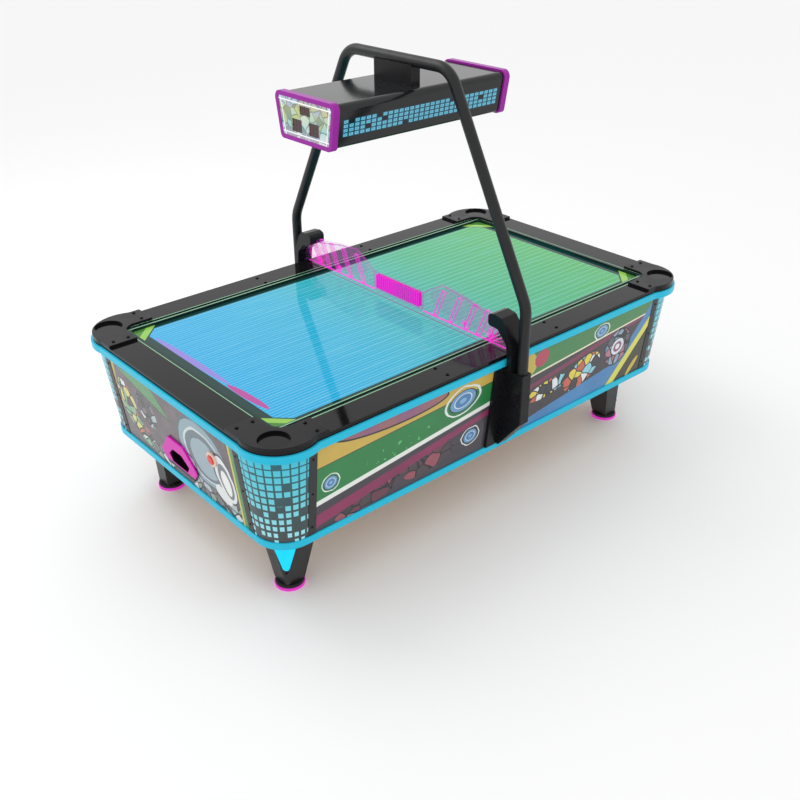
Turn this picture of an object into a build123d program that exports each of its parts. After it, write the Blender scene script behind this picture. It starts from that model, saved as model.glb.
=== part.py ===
from build123d import *
import math
import os

# Air hockey table with an overhead score bar, in millimetres, +Z up.
# The origin is on the floor under the middle of the table. X runs along the table, Y across it.
# Front is the -X end, rear the +X end, left the +Y side and right the -Y side.

# Rails and cabinet
rail_length = 2500.0
rail_width = 1440.0
rail_top = 812.0
rail_thick = 22.0
cabinet_bottom = 324.0
cabinet_lean = 0.107
corner_round = 180.0
panel_thick = 4.0
wall_thick = 18.0
corner_thick = 36.0
floor_thick = 18.0
floor_lift = 4.0

# Rounded bulges of the rails at the four corners, and the step where each one starts
bulge_in_x = 160.0
bulge_in_y = 148.0
bulge_proud = 4.0
step_round = 30.0

# Light trims
trim_height = 31.0
trim_proud = 10.0
trim_drop = 19.0
trim_edge = 2.5
low_trim_proud = 10.0

# Playing surface, its cushions and the goals
field_drop = 12.0
field_thick = 10.0
end_rail = 133.0
side_rail = 123.0
side_bank = 35.0
end_bank = 19.0
bank_round = 60.0
groove_start = 13.0
groove_width = 15.0
groove_deep = 4.0
goal_width = 300.0
goal_height = 9.0
goal_pocket = 81.0
fit = 0.5

# Air box and blower
tray_side = 24.0
tray_end = 28.0
tray_lap = 15.0
tray_deep = 78.0
tray_floor = 12.0
blower_hole = 300.0
housing_side = 380.0
housing_tall = 120.0
sheet_metal = 2.5
inlet_bore = 190.0
motor_dia = 104.0
motor_tall = 52.0
shaft_dia = 12.0
wheel_dia = 250.0
wheel_tall = 62.0
wheel_eye = 180.0
wheel_rise = 20.0
plate_thick = 3.0
hub_dia = 34.0
hub_tall = 22.0
blade_count = 9
blade_thick = 3.0
blade_curve = ((92.0, 0.0), (109.0, 10.0), (123.0, 30.0))
shaft_long = 40.0
floor_hole = 240.0
grille_lap = 30.0
grille_thick = 2.0
grille_slot = 10.0
grille_pitch = 18.0
grille_rows = 6
motor_edge = 4.0
strap_half = 15.0
strap_thick = 4.0
wheel_gap = 6.0
run_gap = 0.08

# Corner caps
cap_thick = 12.0
cap_long_x = 285.0
cap_long_y = 265.0
cap_edge = 1.5
dish_dia = 124.0
dish_in_x = 91.0
dish_in_y = 79.0

# Panels and the strips beside them
side_panel_in = 227.0
end_panel_in = 235.0
strip_wide = 37.0
strip_proud = 2.0

# Legs, shields and feet
leg_in_x = 213.0
leg_in_y = 234.0
leg_top_half = 84.0
leg_top_inner = 110.0
leg_low_half = 45.0
leg_top_bevel = 96.0
leg_low_bevel = 8.0
leg_low = 30.0
shield_thick = 3.0
shield_gap = 6.0
shield_half = (54.0, 44.0)
shield_waist = 185.0
shield_tip = 38.0
tip_round = 15.0
shoulder_round = 60.0
foot_dia = 130.0
foot_core = 92.0
ring_tall = 14.0
pad_tall = 12.0
pad_dia = 122.0
stem_dia = 16.0
stem_tall = 90.0
stem_room = 12.0
pad_edge = 3.0
ring_edge = 3.0
ring_lift = 1.0

# Arch over the table
tube_dia = 48.0
tube_wall = 3.0
arch_out = 72.0
arch_rise = 1105.0
shoulder_rise = 228.0
crown_in = 470.0
low_bend = 150.0
high_bend = 115.0
cover_wall = 4.0
cover_bore_gap = 0.2
cover_drop = 70.0
cover_floor = 18.0
flange_half = 92.0
cover_cut = 150.0
flange_thick = 14.0
hood_half = 44.0
hood_neck = 24.0
nose_round = 17.0
# Outline of a hood, as places inwards from the post cover's inner face and above the rail
hood_profile = [(0.0, 50.0), (-42.0, 138.0), (-64.0, 164.0), (-109.0, 171.0), (-140.0, 162.0)]
hood_profile += [(-140.0, 112.0), (-84.0, 108.0), (-32.0, 53.0)]

# Divider across the middle
sheet_thick = 8.0
puck_gap = 14.0
slot_gap = 0.1
sign_half = 155.0
sign_rise = 25.0
sign_tall = 70.0
sign_thick = 3.0

# Score bar
bar_half = 457.0
bar_hang = 95.0
bar_tall = 174.0
bar_top_half = 190.0
bar_low_half = 160.0
bar_wall = 3.0
bar_top_round = 22.0
bar_low_round = 14.0
end_trim_out = 8.0
end_trim_in = 10.0
end_trim_long = 30.0
end_plate = 4.0
plate_set = 3.0
hanger_cheek = 1.0
hanger_y = 236.0
saddle_drop = 12.0
clock = (70.0, 36.0)
clock_drop = 50.0
digit = (66.0, 52.0)
digit_rise = 58.0
digit_y = 56.0
digit_lap = 8.0
digit_deep = 12.0
plate_gap = 0.2

# Puck return, start button, service door and mains inlet
mouth_rise = 100.0
chute_drop = 45.0
chute_gap = 3.0
tray_gap = 2.0
chute_deep = 54.0
chute_top_deep = 62.0
chute_wide = 186.0
chute_spread = 15.0
chute_top_drop = 26.0
# Half width of the top, of the waist and of the foot, then top height, waist height and foot depth
mouth_shape = (36.0, 82.0, 60.0, 37.0, -3.0, 37.0)
bezel_shape = (62.0, 145.0, 106.0, 93.0, -5.0, 62.0)
bezel_round = 10.0
bezel_edge = 4.0
bezel_proud = 10.0
bezel_wall = 3.0
chute_wall = 2.5
button_y = 302.0
button_drop = 155.0
button_dia = 42.0
button_ring = 68.0
button_barrel = 50.0
button_proud = 5.0
button_flange = 8.0
button_deep = 40.0
button_tail = 10.0
button_edge = 3.0
door_x = 560.0
door_wide = 300.0
door_high = 240.0
door_gap = 2.0
pin_dia = 4.0
knuckle_dia = 8.0
knuckle_long = 16.0
leaf_long = 34.0
leaf_thick = 2.0
hinge_half = 25.0
lock_dia = 18.0
lock_in = 30.0
lock_head_dia = 24.0
lock_head = 3.0
keyway = (8.0, 1.6, 3.0)
tongue = (14.0, 52.0, 3.0)
tongue_reach = 19.0
inlet_x = -560.0
inlet_hole = (98.0, 40.0)
inlet_plate = (116.0, 54.0, 3.0)
socket_x = -22.0
socket_body = (46.0, 32.0, 28.0)
socket_recess = (26.0, 19.0, 15.5)
blade = (1.6, 4.0, 9.0)
rocker_x = 26.0
rocker_body = (24.0, 34.0, 18.0)
rocker_recess = (14.0, 27.0, 13.0)
rocker_wide = 13.0
rocker_pin = 3.0
rocker_pin_long = 17.0
rocker_tilt = 6.0
inlet_rise = 85.0

# Electronics case on the cabinet floor
case_x = -510.0
case_size = (260.0, 180.0, 70.0)
case_wall = 3.0
vent = (6.0, 100.0, 20.0)
vent_pitch = 20.0

# Bolts and screws
bolt_dia = 8.0
bolt_head = 15.0
bolt_head_tall = 4.0
bolt_edge = 2.4
bolt_socket = 5.0
bolt_socket_deep = 2.2
bolt_grip = 14.0
side_bolt_x = 335.0
side_bolts_in = (108.0, 35.0)
cap_bolts_in = ((105.0, 236.0), (35.0, 236.0), (245.0, 97.0), (245.0, 24.0))
screw_dia = 4.0
screw_head = 9.0
screw_head_tall = 2.0
screw_long = 14.0
screw_edge = 1.2
screw_in = 40.0
shield_screw_drop = 60.0
shield_screw_half = 34.0
shield_screw_low = 62.0
hole_gap = 0.2

# Heights and half sizes that follow from the sizes above
half_x = rail_length / 2
half_y = rail_width / 2
bulge_radius = max(bulge_in_x, bulge_in_y) + bulge_proud
bulge_x = half_x - bulge_in_x
bulge_y = half_y - bulge_in_y
body_top = rail_top - rail_thick
field_top = rail_top - field_drop
field_low = field_top - field_thick
bank_x = half_x - end_rail
bank_y = half_y - side_rail
field_half_x = bank_x - end_bank
field_half_y = bank_y - side_bank
cap_reach_x = half_x - cap_long_x
cap_reach_y = half_y - cap_long_y
side_panel_half = half_x - side_panel_in
end_panel_half = half_y - end_panel_in
leg_x = half_x - leg_in_x
leg_y = half_y - leg_in_y
arch_half = half_y + arch_out
arch_top = rail_top + arch_rise
cover_top = rail_top - cover_drop
cover_side = tube_dia + 2 * cover_wall
hood_back = arch_half - cover_side / 2
sign_low = rail_top + sign_rise
sign_high = sign_low + sign_tall
bar_top = arch_top - bar_hang
bar_bottom = bar_top - bar_tall
hanger_top = arch_top - saddle_drop
hanger_x = tube_dia + 2 * hanger_cheek
trim_top = rail_top - trim_drop
trim_low = trim_top - trim_height
low_trim_top = cabinet_bottom + trim_height
panel_mid = (low_trim_top + trim_low) / 2
mouth_z = low_trim_top + mouth_rise
button_z = trim_low - button_drop
inlet_z = low_trim_top + inlet_rise
wall_inset = panel_thick + wall_thick
lean_angle = math.degrees(math.atan(cabinet_lean))
floor_low = cabinet_bottom + floor_lift
floor_top = floor_low + floor_thick
strip_x = side_panel_half + strip_wide
strip_y = end_panel_half + strip_wide
tray_x = bank_x + tray_lap
tray_y = bank_y + tray_lap
tray_low = field_low - tray_deep - tray_floor
grille_span = (-floor_hole / 2 - grille_lap, floor_hole / 2 + grille_lap)
quadrants = [(sx, sy) for sx in (-1, 1) for sy in (-1, 1)]
ends = {"front": -1, "rear": 1}


def span(x0, x1, y0, y1, z0, z1):
    """A box between two values on each axis."""
    size = Box(x1 - x0, y1 - y0, z1 - z0)
    return Pos((x0 + x1) / 2, (y0 + y1) / 2, (z0 + z1) / 2) * size


def upright(dia, z0, z1):
    """An upright cylinder on the Z axis between two heights."""
    return Pos(0, 0, (z0 + z1) / 2) * Cylinder(dia / 2, z1 - z0)


def group(shapes):
    """Several separate solids kept as one node."""
    return Compound(children=[solid for shape in shapes for solid in shape.solids()])


def body_plan(inset, z):
    wide = rail_width - 2 * inset
    return Pos(0, 0, z) * RectangleRounded(rail_length - 2 * inset, wide, corner_round - inset)


def body_block(inset):
    """The leaning cabinet, filled, with its faces set in from the outer panels by inset."""
    return extrude(body_plan(inset, body_top), cabinet_bottom - body_top, taper=lean_angle)


def bulged_plan(grow):
    """Plan of the rails with a round bulge at each corner, grown outwards by grow."""
    plan = Rectangle(2 * (half_x + grow), 2 * bulge_y) + Rectangle(2 * bulge_x, 2 * (half_y + grow))
    for sx, sy in quadrants:
        plan += Pos(sx * bulge_x, sy * bulge_y) * Circle(bulge_radius + grow)
    radius = bulge_radius + grow
    cross_x = bulge_x - math.sqrt(radius**2 - (half_y + grow - bulge_y) ** 2)
    cross_y = bulge_y - math.sqrt(radius**2 - (half_x + grow - bulge_x) ** 2)
    steps = [v for v in plan.vertices() if min(abs(abs(v.X) - cross_x), abs(abs(v.Y) - cross_y)) < 0.5]
    return fillet(steps, step_round - grow)


def slab(plan, z0, z1):
    return extrude(Pos(0, 0, z0) * plan, z1 - z0)


def face_plane(side, along, z):
    """Plane on the leaning outer face of a side: x along the table's edge, y up, z outwards."""
    turn = {"rear": 0, "left": 90, "front": 180, "right": 270}[side]
    half = half_x if side in ends else half_y
    out = half - cabinet_lean * (body_top - z)
    tilt = math.radians(lean_angle)
    origin = Vector(out, along, z).rotate(Axis.Z, turn)
    normal = Vector(math.cos(tilt), 0, -math.sin(tilt)).rotate(Axis.Z, turn)
    across = Vector(0, 1, 0).rotate(Axis.Z, turn)
    return Plane(origin=origin, x_dir=across, z_dir=normal)


# Corner regions, taken away from or kept of the shells around the cabinet.
def corner_boxes(x0, y0, z0, z1):
    reach = half_x + 100
    boxes = []
    for sx, sy in quadrants:
        xs = sorted((sx * x0, sx * reach))
        ys = sorted((sy * y0, sy * reach))
        boxes.append(span(*xs, *ys, z0, z1))
    return boxes


def rail_bolt_places():
    """Bolts of the side rails beside the posts: place and the height of the face they sit on."""
    places = [(sx * side_bolt_x, sy * (half_y - y), rail_top) for sx, sy in quadrants for y in side_bolts_in]
    for sx, sy in quadrants:
        for x, y in cap_bolts_in:
            places.append((sx * (half_x - x), sy * (half_y - y), rail_top + cap_thick))
    return places


def bolt_holes(z_low):
    return [Pos(x, y, 0) * upright(bolt_dia + 2 * hole_gap, z_low, z + 1) for x, y, z in rail_bolt_places()]


def rail_bolts():
    bolts = []
    for x, y, z in rail_bolt_places():
        head = upright(bolt_head, z, z + bolt_head_tall)
        head = fillet(head.edges().group_by(Axis.Z)[-1], bolt_edge)
        hexagon_key = RegularPolygon(bolt_socket / 2, 6, major_radius=False)
        socket = Pos(0, 0, z + bolt_head_tall) * extrude(hexagon_key, -bolt_socket_deep)
        bolts.append(Pos(x, y, 0) * (head + upright(bolt_dia, z - bolt_grip, z) - socket))
    return group(bolts)


# Rails, caps and cushions
def rails():
    opening = RectangleRounded(2 * bank_x, 2 * bank_y, bank_round)
    ring = slab(bulged_plan(0) - opening, body_top, rail_top)
    for hole in bolt_holes(rail_top - bolt_grip - 1):
        ring -= hole
    drop = bank_x + goal_pocket
    for side in ends.values():
        xs = sorted((side * (bank_x - 1), side * drop))
        ring -= span(*xs, -goal_width / 2, goal_width / 2, body_top - 1, field_top + goal_height)
    split = bank_x - bank_round
    reach = half_x + 100
    return {
        "left_rail": ring & span(-split, split, 0, reach, 0, rail_top + 1),
        "right_rail": ring & span(-split, split, -reach, 0, 0, rail_top + 1),
        "front_rail": ring & span(-reach, -split, -reach, reach, 0, rail_top + 1),
        "rear_rail": ring & span(split, reach, -reach, reach, 0, rail_top + 1),
    }


def corner_caps():
    opening = RectangleRounded(2 * bank_x, 2 * bank_y, bank_round)
    ring = slab(bulged_plan(0) - opening, rail_top, rail_top + cap_thick)
    holes = bolt_holes(rail_top - 1)
    names = {(-1, -1): "front_right", (-1, 1): "front_left", (1, -1): "rear_right", (1, 1): "rear_left"}
    caps = {}
    for (sx, sy), name in names.items():
        xs = sorted((sx * cap_reach_x, sx * (half_x + 100)))
        ys = sorted((sy * cap_reach_y, sy * (half_y + 100)))
        cap = ring & span(*xs, *ys, rail_top, rail_top + cap_thick)
        dish = Pos(sx * (half_x - dish_in_x), sy * (half_y - dish_in_y), rail_top)
        cap -= dish * Cylinder(dish_dia / 2, 4 * cap_thick)
        cap -= [hole for hole in holes if hole.center().X * sx > 0 and hole.center().Y * sy > 0]
        rim = cap.faces().sort_by(Axis.Z)[-1].outer_wire().edges()
        caps[name + "_cap"] = fillet(rim, cap_edge)
    return caps


def banks():
    outer = RectangleRounded(2 * bank_x, 2 * bank_y, bank_round)
    inner = RectangleRounded(2 * field_half_x, 2 * field_half_y, bank_round - side_bank)
    ring = slab(outer - inner, field_top, rail_top)
    split = bank_x - bank_round
    start = field_half_y + groove_start
    sides = []
    for sy in (-1, 1):
        ys = sorted((sy * (field_half_y - 1), sy * (bank_y + 1)))
        bar = ring & span(-split, split, *ys, 0, rail_top)
        groove = sorted((sy * start, sy * (start + groove_width)))
        sides.append(bar - span(-split, split, *groove, rail_top - groove_deep, rail_top + 1))
    goals = []
    for sx in (-1, 1):
        xs = sorted((sx * split, sx * (bank_x + 1)))
        bar = ring & span(*xs, -bank_y, bank_y, 0, rail_top)
        half = goal_width / 2
        goals.append(bar - span(*xs, -half, half, field_top - 1, field_top + goal_height))
    return {"side_cushions": group(sides), "end_cushions": group(goals)}


def playfield():
    return slab(RectangleRounded(2 * (bank_x - fit), 2 * (bank_y - fit), bank_round), field_low, field_top)


# Air box, blower wheel and motor
def air_box():
    tray = span(-tray_x, tray_x, -tray_y, tray_y, tray_low, field_low)
    x_in = tray_x - tray_end
    y_in = tray_y - tray_side
    tray -= span(-x_in, x_in, -y_in, y_in, tray_low + tray_floor, field_low + 1)
    return tray - Pos(0, 0, tray_low) * Cylinder(blower_hole / 2, 4 * tray_floor)


def blower_housing():
    half = housing_side / 2
    low = tray_low - housing_tall
    box = span(-half, half, -half, half, low, tray_low)
    inside = half - sheet_metal
    box -= span(-inside, inside, -inside, inside, low + sheet_metal, tray_low + 1)
    return box - Pos(0, 0, low) * Cylinder(inlet_bore / 2, 4 * sheet_metal)


def motor_low():
    return tray_low - motor_tall


def blower_motor():
    """Motor hung under the air box on a cross of two straps, with its shaft pointing down."""
    motor = upright(motor_dia, motor_low(), tray_low)
    motor = chamfer(motor.edges().group_by(Axis.Z)[0], motor_edge)
    half = housing_side / 2 - sheet_metal - 1
    for turn in (0, 90):
        strap = span(-half, half, -strap_half, strap_half, tray_low - strap_thick, tray_low)
        motor += Rot(0, 0, turn) * strap
    return motor + upright(shaft_dia, motor_low() - shaft_long, motor_low())


def blower_wheel():
    """Blower wheel: hub plate above, ring below and curved blades between them."""
    top = motor_low() - wheel_gap
    low = top - wheel_tall + wheel_rise
    wheel = upright(wheel_dia, top - plate_thick, top)
    wheel += upright(hub_dia, top - hub_tall, top - plate_thick)
    wheel += upright(wheel_dia, low, low + plate_thick) - upright(wheel_eye, low, low + plate_thick)
    outline = thicken_arc(ThreePointArc(*blade_curve), blade_thick)
    for k in range(blade_count):
        wheel += Rot(0, 0, 360 / blade_count * k) * slab(outline, low + 1, top - 1)
    return wheel - upright(shaft_dia + 2 * run_gap, low, top + 1)


def thicken_arc(arc, thick):
    return make_face(offset(Wire([arc]), thick / 2, kind=Kind.ARC).edges())


def intake_grille():
    plate = span(*grille_span, *grille_span, floor_low - grille_thick, floor_low)
    for k in range(-grille_rows, grille_rows + 1):
        y = k * grille_pitch
        half = math.sqrt((floor_hole / 2 - 2) ** 2 - y**2)
        plate -= span(-half, half, y - grille_slot / 2, y + grille_slot / 2, 0, body_top)
    return plate


# Light trims, each one split into four straights and four corners
def split_ring(ring):
    cuts = corner_boxes(strip_x, strip_y, 0, rail_top)
    corners = [ring & box for box in cuts]
    straights = ring
    for box in cuts:
        straights -= box
    return group(corners + [straights])


def round_rims(ring):
    """Rounds the upper and lower edges of a trim."""
    levels = ring.edges().group_by(Axis.Z)
    return fillet(levels[0] + levels[-1], trim_edge)


def top_trim():
    outer = slab(bulged_plan(trim_proud), trim_low, trim_top)
    outer = round_rims(outer)
    outer -= slab(bulged_plan(0), body_top, rail_top)
    return split_ring(outer - body_block(panel_thick))


def low_trim():
    inset = cabinet_lean * (body_top - cabinet_bottom) - low_trim_proud
    outer = slab(body_plan(inset, 0), cabinet_bottom, low_trim_top)
    outer = round_rims(outer)
    return split_ring(outer - body_block(panel_thick))


# Cut-outs through panels and walls
def hexagon(top, wide, low, rise, waist, drop):
    """A six-sided shield shape: half widths of its top, waist and foot, and their heights."""
    points = [(wide, waist), (low, -drop), (-low, -drop), (-wide, waist), (-top, rise), (top, rise)]
    return make_face(Polyline(points, close=True))


def mouth_sketch(grow=0):
    opening = hexagon(*mouth_shape)
    return offset(opening, grow) if grow else opening


def bezel_sketch():
    outer = hexagon(*bezel_shape)
    return fillet(outer.vertices(), bezel_round)


def mouth_plane(end):
    return face_plane(end, 0, mouth_z)


def button_plane(end):
    return face_plane(end, button_y, button_z)


def door_plane():
    return face_plane("left", -door_x, panel_mid)


def inlet_plane():
    return face_plane("left", -inlet_x, inlet_z)


def cutouts(deep):
    """Everything that passes through the panels and walls, to the given depth."""
    cuts = []
    for end in ends:
        cuts.append(extrude(mouth_plane(end) * mouth_sketch(bezel_wall + hole_gap), deep, both=True))
        cuts.append(extrude(button_plane(end) * Circle(button_barrel / 2 + hole_gap), deep, both=True))
    cuts.append(extrude(door_plane() * Rectangle(door_wide, door_high), deep, both=True))
    cuts.append(extrude(inlet_plane() * Rectangle(*inlet_hole), deep, both=True))
    return cuts


def shell(out, inner, z0, z1):
    reach = half_x + 100
    return (body_block(out) - body_block(inner)) & span(-reach, reach, -reach, reach, z0, z1)


def panels():
    skin = shell(0, panel_thick, low_trim_top, trim_low)
    for cut in cutouts(40):
        skin -= cut
    reach = half_x + 100
    side = side_panel_half
    end = end_panel_half
    corners = [skin & box for box in corner_boxes(strip_x, strip_y, 0, rail_top)]
    return {
        "left_panel": skin & span(-side, side, 0, reach, 0, rail_top),
        "right_panel": skin & span(-side, side, -reach, 0, 0, rail_top),
        "front_panel": skin & span(-reach, 0, -end, end, 0, rail_top),
        "rear_panel": skin & span(0, reach, -end, end, 0, rail_top),
        "corner_panels": group(corners),
    }


def edge_strips():
    skin = shell(-strip_proud, panel_thick, low_trim_top, trim_low)
    strips = []
    for sx, sy in quadrants:
        xs = sorted((sx * side_panel_half, sx * strip_x))
        ys = sorted((sy * bank_y, sy * (half_y + 50)))
        strips.append(skin & span(*xs, *ys, 0, rail_top))
        xs = sorted((sx * bank_x, sx * (half_x + 50)))
        ys = sorted((sy * end_panel_half, sy * strip_y))
        strips.append(skin & span(*xs, *ys, 0, rail_top))
    return group(strips)


def cabinet_walls():
    skin = shell(panel_thick, wall_inset, cabinet_bottom + 2, body_top)
    for cut in cutouts(60):
        skin -= cut
    for box in corner_boxes(strip_x, strip_y, 0, rail_top):
        skin -= box
    return group([skin])


def corner_posts():
    skin = shell(panel_thick, panel_thick + corner_thick, cabinet_bottom + 2, body_top)
    return group([skin & box for box in corner_boxes(strip_x, strip_y, 0, rail_top)])


def cabinet_floor():
    reach = half_x + 100
    board = body_block(wall_inset) & span(-reach, reach, -reach, reach, floor_low, floor_top)
    ring = body_block(wall_inset - 1) - body_block(panel_thick + corner_thick)
    for box in corner_boxes(strip_x, strip_y, 0, rail_top):
        board -= ring & box
    return board - Pos(0, 0, floor_low) * Cylinder(floor_hole / 2, 4 * floor_thick)


# Legs, shields and feet
def leg_outline(half, inner, bevel, z):
    points = [(-inner, -half), (half, -half), (half, half - bevel), (half - bevel, half), (-inner, half)]
    return Pos(0, 0, z) * make_face(Polyline(points, close=True))


def to_corner(shape, sx, sy):
    """Carries a piece made for the rear left corner to another corner."""
    if sx < 0:
        shape = mirror(shape, Plane.YZ)
    if sy < 0:
        shape = mirror(shape, Plane.XZ)
    return shape


def leg():
    lower = leg_outline(leg_low_half, leg_low_half, leg_low_bevel, leg_low)
    upper = leg_outline(leg_top_half, leg_top_inner, leg_top_bevel, floor_low)
    body = loft([lower, upper], ruled=True)
    body -= upright(stem_dia + 2 * run_gap, leg_low - 1, leg_low + stem_tall + stem_room)
    return Pos(leg_x, leg_y, 0) * body


def bevel_plane():
    """Plane of a leg's outer bevel: origin at its foot, x level, y up the bevel, z outwards."""
    diagonal = Vector(1, 1, 0).normalized()
    low = diagonal * ((2 * leg_low_half - leg_low_bevel) / math.sqrt(2))
    high = diagonal * ((2 * leg_top_half - leg_top_bevel) / math.sqrt(2))
    low = low + Vector(leg_x, leg_y, leg_low)
    high = high + Vector(leg_x, leg_y, floor_low)
    across = Vector(-1, 1, 0).normalized()
    return Plane(origin=low, x_dir=across, z_dir=across.cross(high - low))


def shield():
    top = floor_low - leg_low - shield_gap
    corner, shoulder = shield_half
    points = [(-corner, top), (corner, top), (shoulder, shield_waist), (0, shield_tip)]
    points.append((-shoulder, shield_waist))
    outline = make_face(Polyline(points, close=True))
    tip = outline.vertices().sort_by(Axis.Y)[0]
    outline = fillet(tip, tip_round)
    shoulders = [v for v in outline.vertices() if abs(v.Y - shield_waist) < 1]
    return extrude(bevel_plane() * fillet(shoulders, shoulder_round), shield_thick)


def shield_screw_places():
    top = floor_low - leg_low - shield_gap
    high = top - shield_screw_drop
    return [(-shield_screw_half, high), (shield_screw_half, high), (0, shield_screw_low)]


def foot():
    core = upright(foot_core, 0, ring_tall)
    pad = upright(pad_dia, ring_tall, ring_tall + pad_tall)
    pad = chamfer(pad.edges().group_by(Axis.Z)[-1], pad_edge)
    stem = upright(stem_dia, ring_tall + pad_tall, leg_low + stem_tall)
    return Pos(leg_x, leg_y, 0) * (core + pad + stem)


def foot_ring():
    ring = upright(foot_dia, ring_lift, ring_tall)
    ring = fillet(ring.edges(), ring_edge)
    return Pos(leg_x, leg_y, 0) * (ring - upright(foot_core, 0, ring_tall + 1))


# Arch, post covers and hoods
def cover_low():
    """Height of a post cover's lower end under the arch, above the slanted cut from the panel."""
    return low_trim_top + 2 + cover_cut


def arch_tube():
    foot_z = cover_low() + cover_floor
    points = [
        (0, -arch_half, foot_z),
        (0, -arch_half, rail_top + shoulder_rise),
        (0, crown_in - arch_half, arch_top),
        (0, arch_half - crown_in, arch_top),
        (0, arch_half, rail_top + shoulder_rise),
        (0, arch_half, foot_z),
    ]
    path = FilletPolyline(points, radius=[low_bend, high_bend, high_bend, low_bend])
    ring = Circle(tube_dia / 2) - Circle(tube_dia / 2 - tube_wall)
    section = Plane(origin=points[0], z_dir=(0, 0, 1)) * ring
    return sweep(section, path=path)


def post_cover(sy):
    """Square sleeve round the foot of the arch, with a web and a flange against the side panel."""
    low = low_trim_top + 2
    half = cover_side / 2
    face = arch_half + half
    sleeve = span(-half, half, hood_back, arch_half + half, low, cover_top)
    sleeve = fillet(sleeve.edges().filter_by(Axis.Z).group_by(Axis.Y)[-1], 5)
    web = span(-half, half, half_y - 90, hood_back, low, cover_top)
    flange = body_block(-flange_thick) & span(-flange_half, flange_half, 0, half_y + 60, low, trim_low - 2)
    cover = sleeve + web + flange - body_block(0)
    inner = half_y - 20
    past = face + 10
    wedge = [(inner, low), (face, cover_low()), (past, cover_low()), (past, low - 5), (inner, low - 5)]
    cover -= along_x(make_face(Polyline(wedge, close=True)), -half - 1, half + 1)
    bore = upright(tube_dia + 2 * cover_bore_gap, cover_low() + cover_floor, cover_top + 1)
    cover -= Pos(0, arch_half, 0) * bore
    return cover if sy > 0 else mirror(cover, Plane.XZ)


def sheet_outline():
    """Half of the divider sheet, from the middle of the table to its end in the hood."""
    low = field_top + puck_gap
    edge = hood_back - hood_neck - 2
    points = [(0, low), (0, sign_high + 5), (sign_half + 6, sign_high + 5), (sign_half + 49, rail_top + 126)]
    points += [(hood_back - 464, rail_top + 184), (hood_back - 294, rail_top + 164)]
    points += [(hood_back - 124, rail_top + 132), (hood_back - 64, rail_top + 124)]
    points += [(edge, rail_top + 58), (edge, low)]
    return make_face(Polyline(points, close=True))


def divider_sheet():
    plane = Plane(origin=(-sheet_thick / 2, 0, 0), x_dir=(0, 1, 0), z_dir=(1, 0, 0))
    half = extrude(plane * sheet_outline(), sheet_thick)
    return half + mirror(half, Plane.XZ)


def divider_sign():
    plates = []
    for sx in (-1, 1):
        xs = sorted((sx * sheet_thick / 2, sx * (sheet_thick / 2 + sign_thick)))
        plate = span(*xs, -sign_half, sign_half, sign_low, sign_high)
        plates.append(fillet(plate.edges().filter_by(Axis.X), 6))
    return group(plates)


def hood(sy):
    """Bent arm on a post cover that leans over the rail and grips the end of the divider."""
    base = [(-hood_neck, -12), (-hood_neck, -cover_drop), (0, -cover_drop)]
    points = [(hood_back + y, rail_top + z) for y, z in hood_profile + base]
    plane = Plane(origin=(-hood_half, 0, 0), x_dir=(0, 1, 0), z_dir=(1, 0, 0))
    outline = make_face(Polyline(points, close=True))
    nose = outline.vertices().group_by(Axis.X)[0]
    outline = fillet(nose, nose_round)
    arm = extrude(plane * outline, 2 * hood_half)
    slot = Plane(origin=(-sheet_thick / 2 - slot_gap, 0, 0), x_dir=(0, 1, 0), z_dir=(1, 0, 0))
    arm -= extrude(slot * sheet_outline(), sheet_thick + 2 * slot_gap)
    return arm if sy > 0 else mirror(arm, Plane.XZ)


# Score bar
def bar_section(grow=0):
    points = [
        (bar_top_half, bar_top),
        (bar_low_half, bar_bottom),
        (-bar_low_half, bar_bottom),
        (-bar_top_half, bar_top),
    ]
    section = make_face(Polyline(points, close=True))
    section = fillet(section.vertices().group_by(Axis.Y)[-1], bar_top_round)
    section = fillet(section.vertices().group_by(Axis.Y)[0], bar_low_round)
    return offset(section, grow) if grow else section


def along_x(sketch, x0, x1):
    plane = Plane(origin=(x0, 0, 0), x_dir=(0, 1, 0), z_dir=(1, 0, 0))
    return extrude(plane * sketch, x1 - x0)


def score_bar():
    return along_x(bar_section() - bar_section(-bar_wall), -bar_half, bar_half)


def both_ends(shape):
    return group([shape, mirror(shape, Plane.YZ)])


def bar_end_trims():
    ring = along_x(bar_section(end_trim_out) - bar_section(-end_trim_in), bar_half, bar_half + end_trim_long)
    return both_ends(ring)


def digit_windows(grow=0):
    windows = Pos(0, bar_top - clock_drop) * Rectangle(clock[0] + grow, clock[1] + grow)
    for side in (-1, 1):
        windows += Pos(side * digit_y, bar_bottom + digit_rise) * Rectangle(digit[0] + grow, digit[1] + grow)
    return windows


def plate_face():
    return bar_half + end_trim_long - plate_set


def bar_end_plates():
    plate = bar_section(-end_trim_in - plate_gap) - digit_windows()
    return both_ends(along_x(plate, plate_face() - end_plate, plate_face()))


def score_digits():
    back = plate_face() - end_plate - digit_deep
    return both_ends(along_x(digit_windows(digit_lap), back, plate_face() - end_plate))


def hanger():
    block = span(-hanger_x / 2, hanger_x / 2, -hanger_y / 2, hanger_y / 2, bar_top, hanger_top)
    return block - Pos(0, 0, arch_top) * Rot(90, 0, 0) * Cylinder(tube_dia / 2, 2 * hanger_y)


# Puck returns
def return_bezels():
    bezels = []
    for end in ends:
        flange = extrude(mouth_plane(end) * (bezel_sketch() - mouth_sketch()), bezel_proud)
        rim = flange.faces().sort_by(Axis.X)[-1 if ends[end] > 0 else 0].outer_wire().edges()
        flange = fillet(rim, bezel_edge)
        tube = mouth_plane(end) * (mouth_sketch(bezel_wall) - mouth_sketch())
        sleeve = extrude(tube, -wall_inset - chute_gap)
        bezels.append(flange + sleeve)
    return group(bezels)


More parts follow.
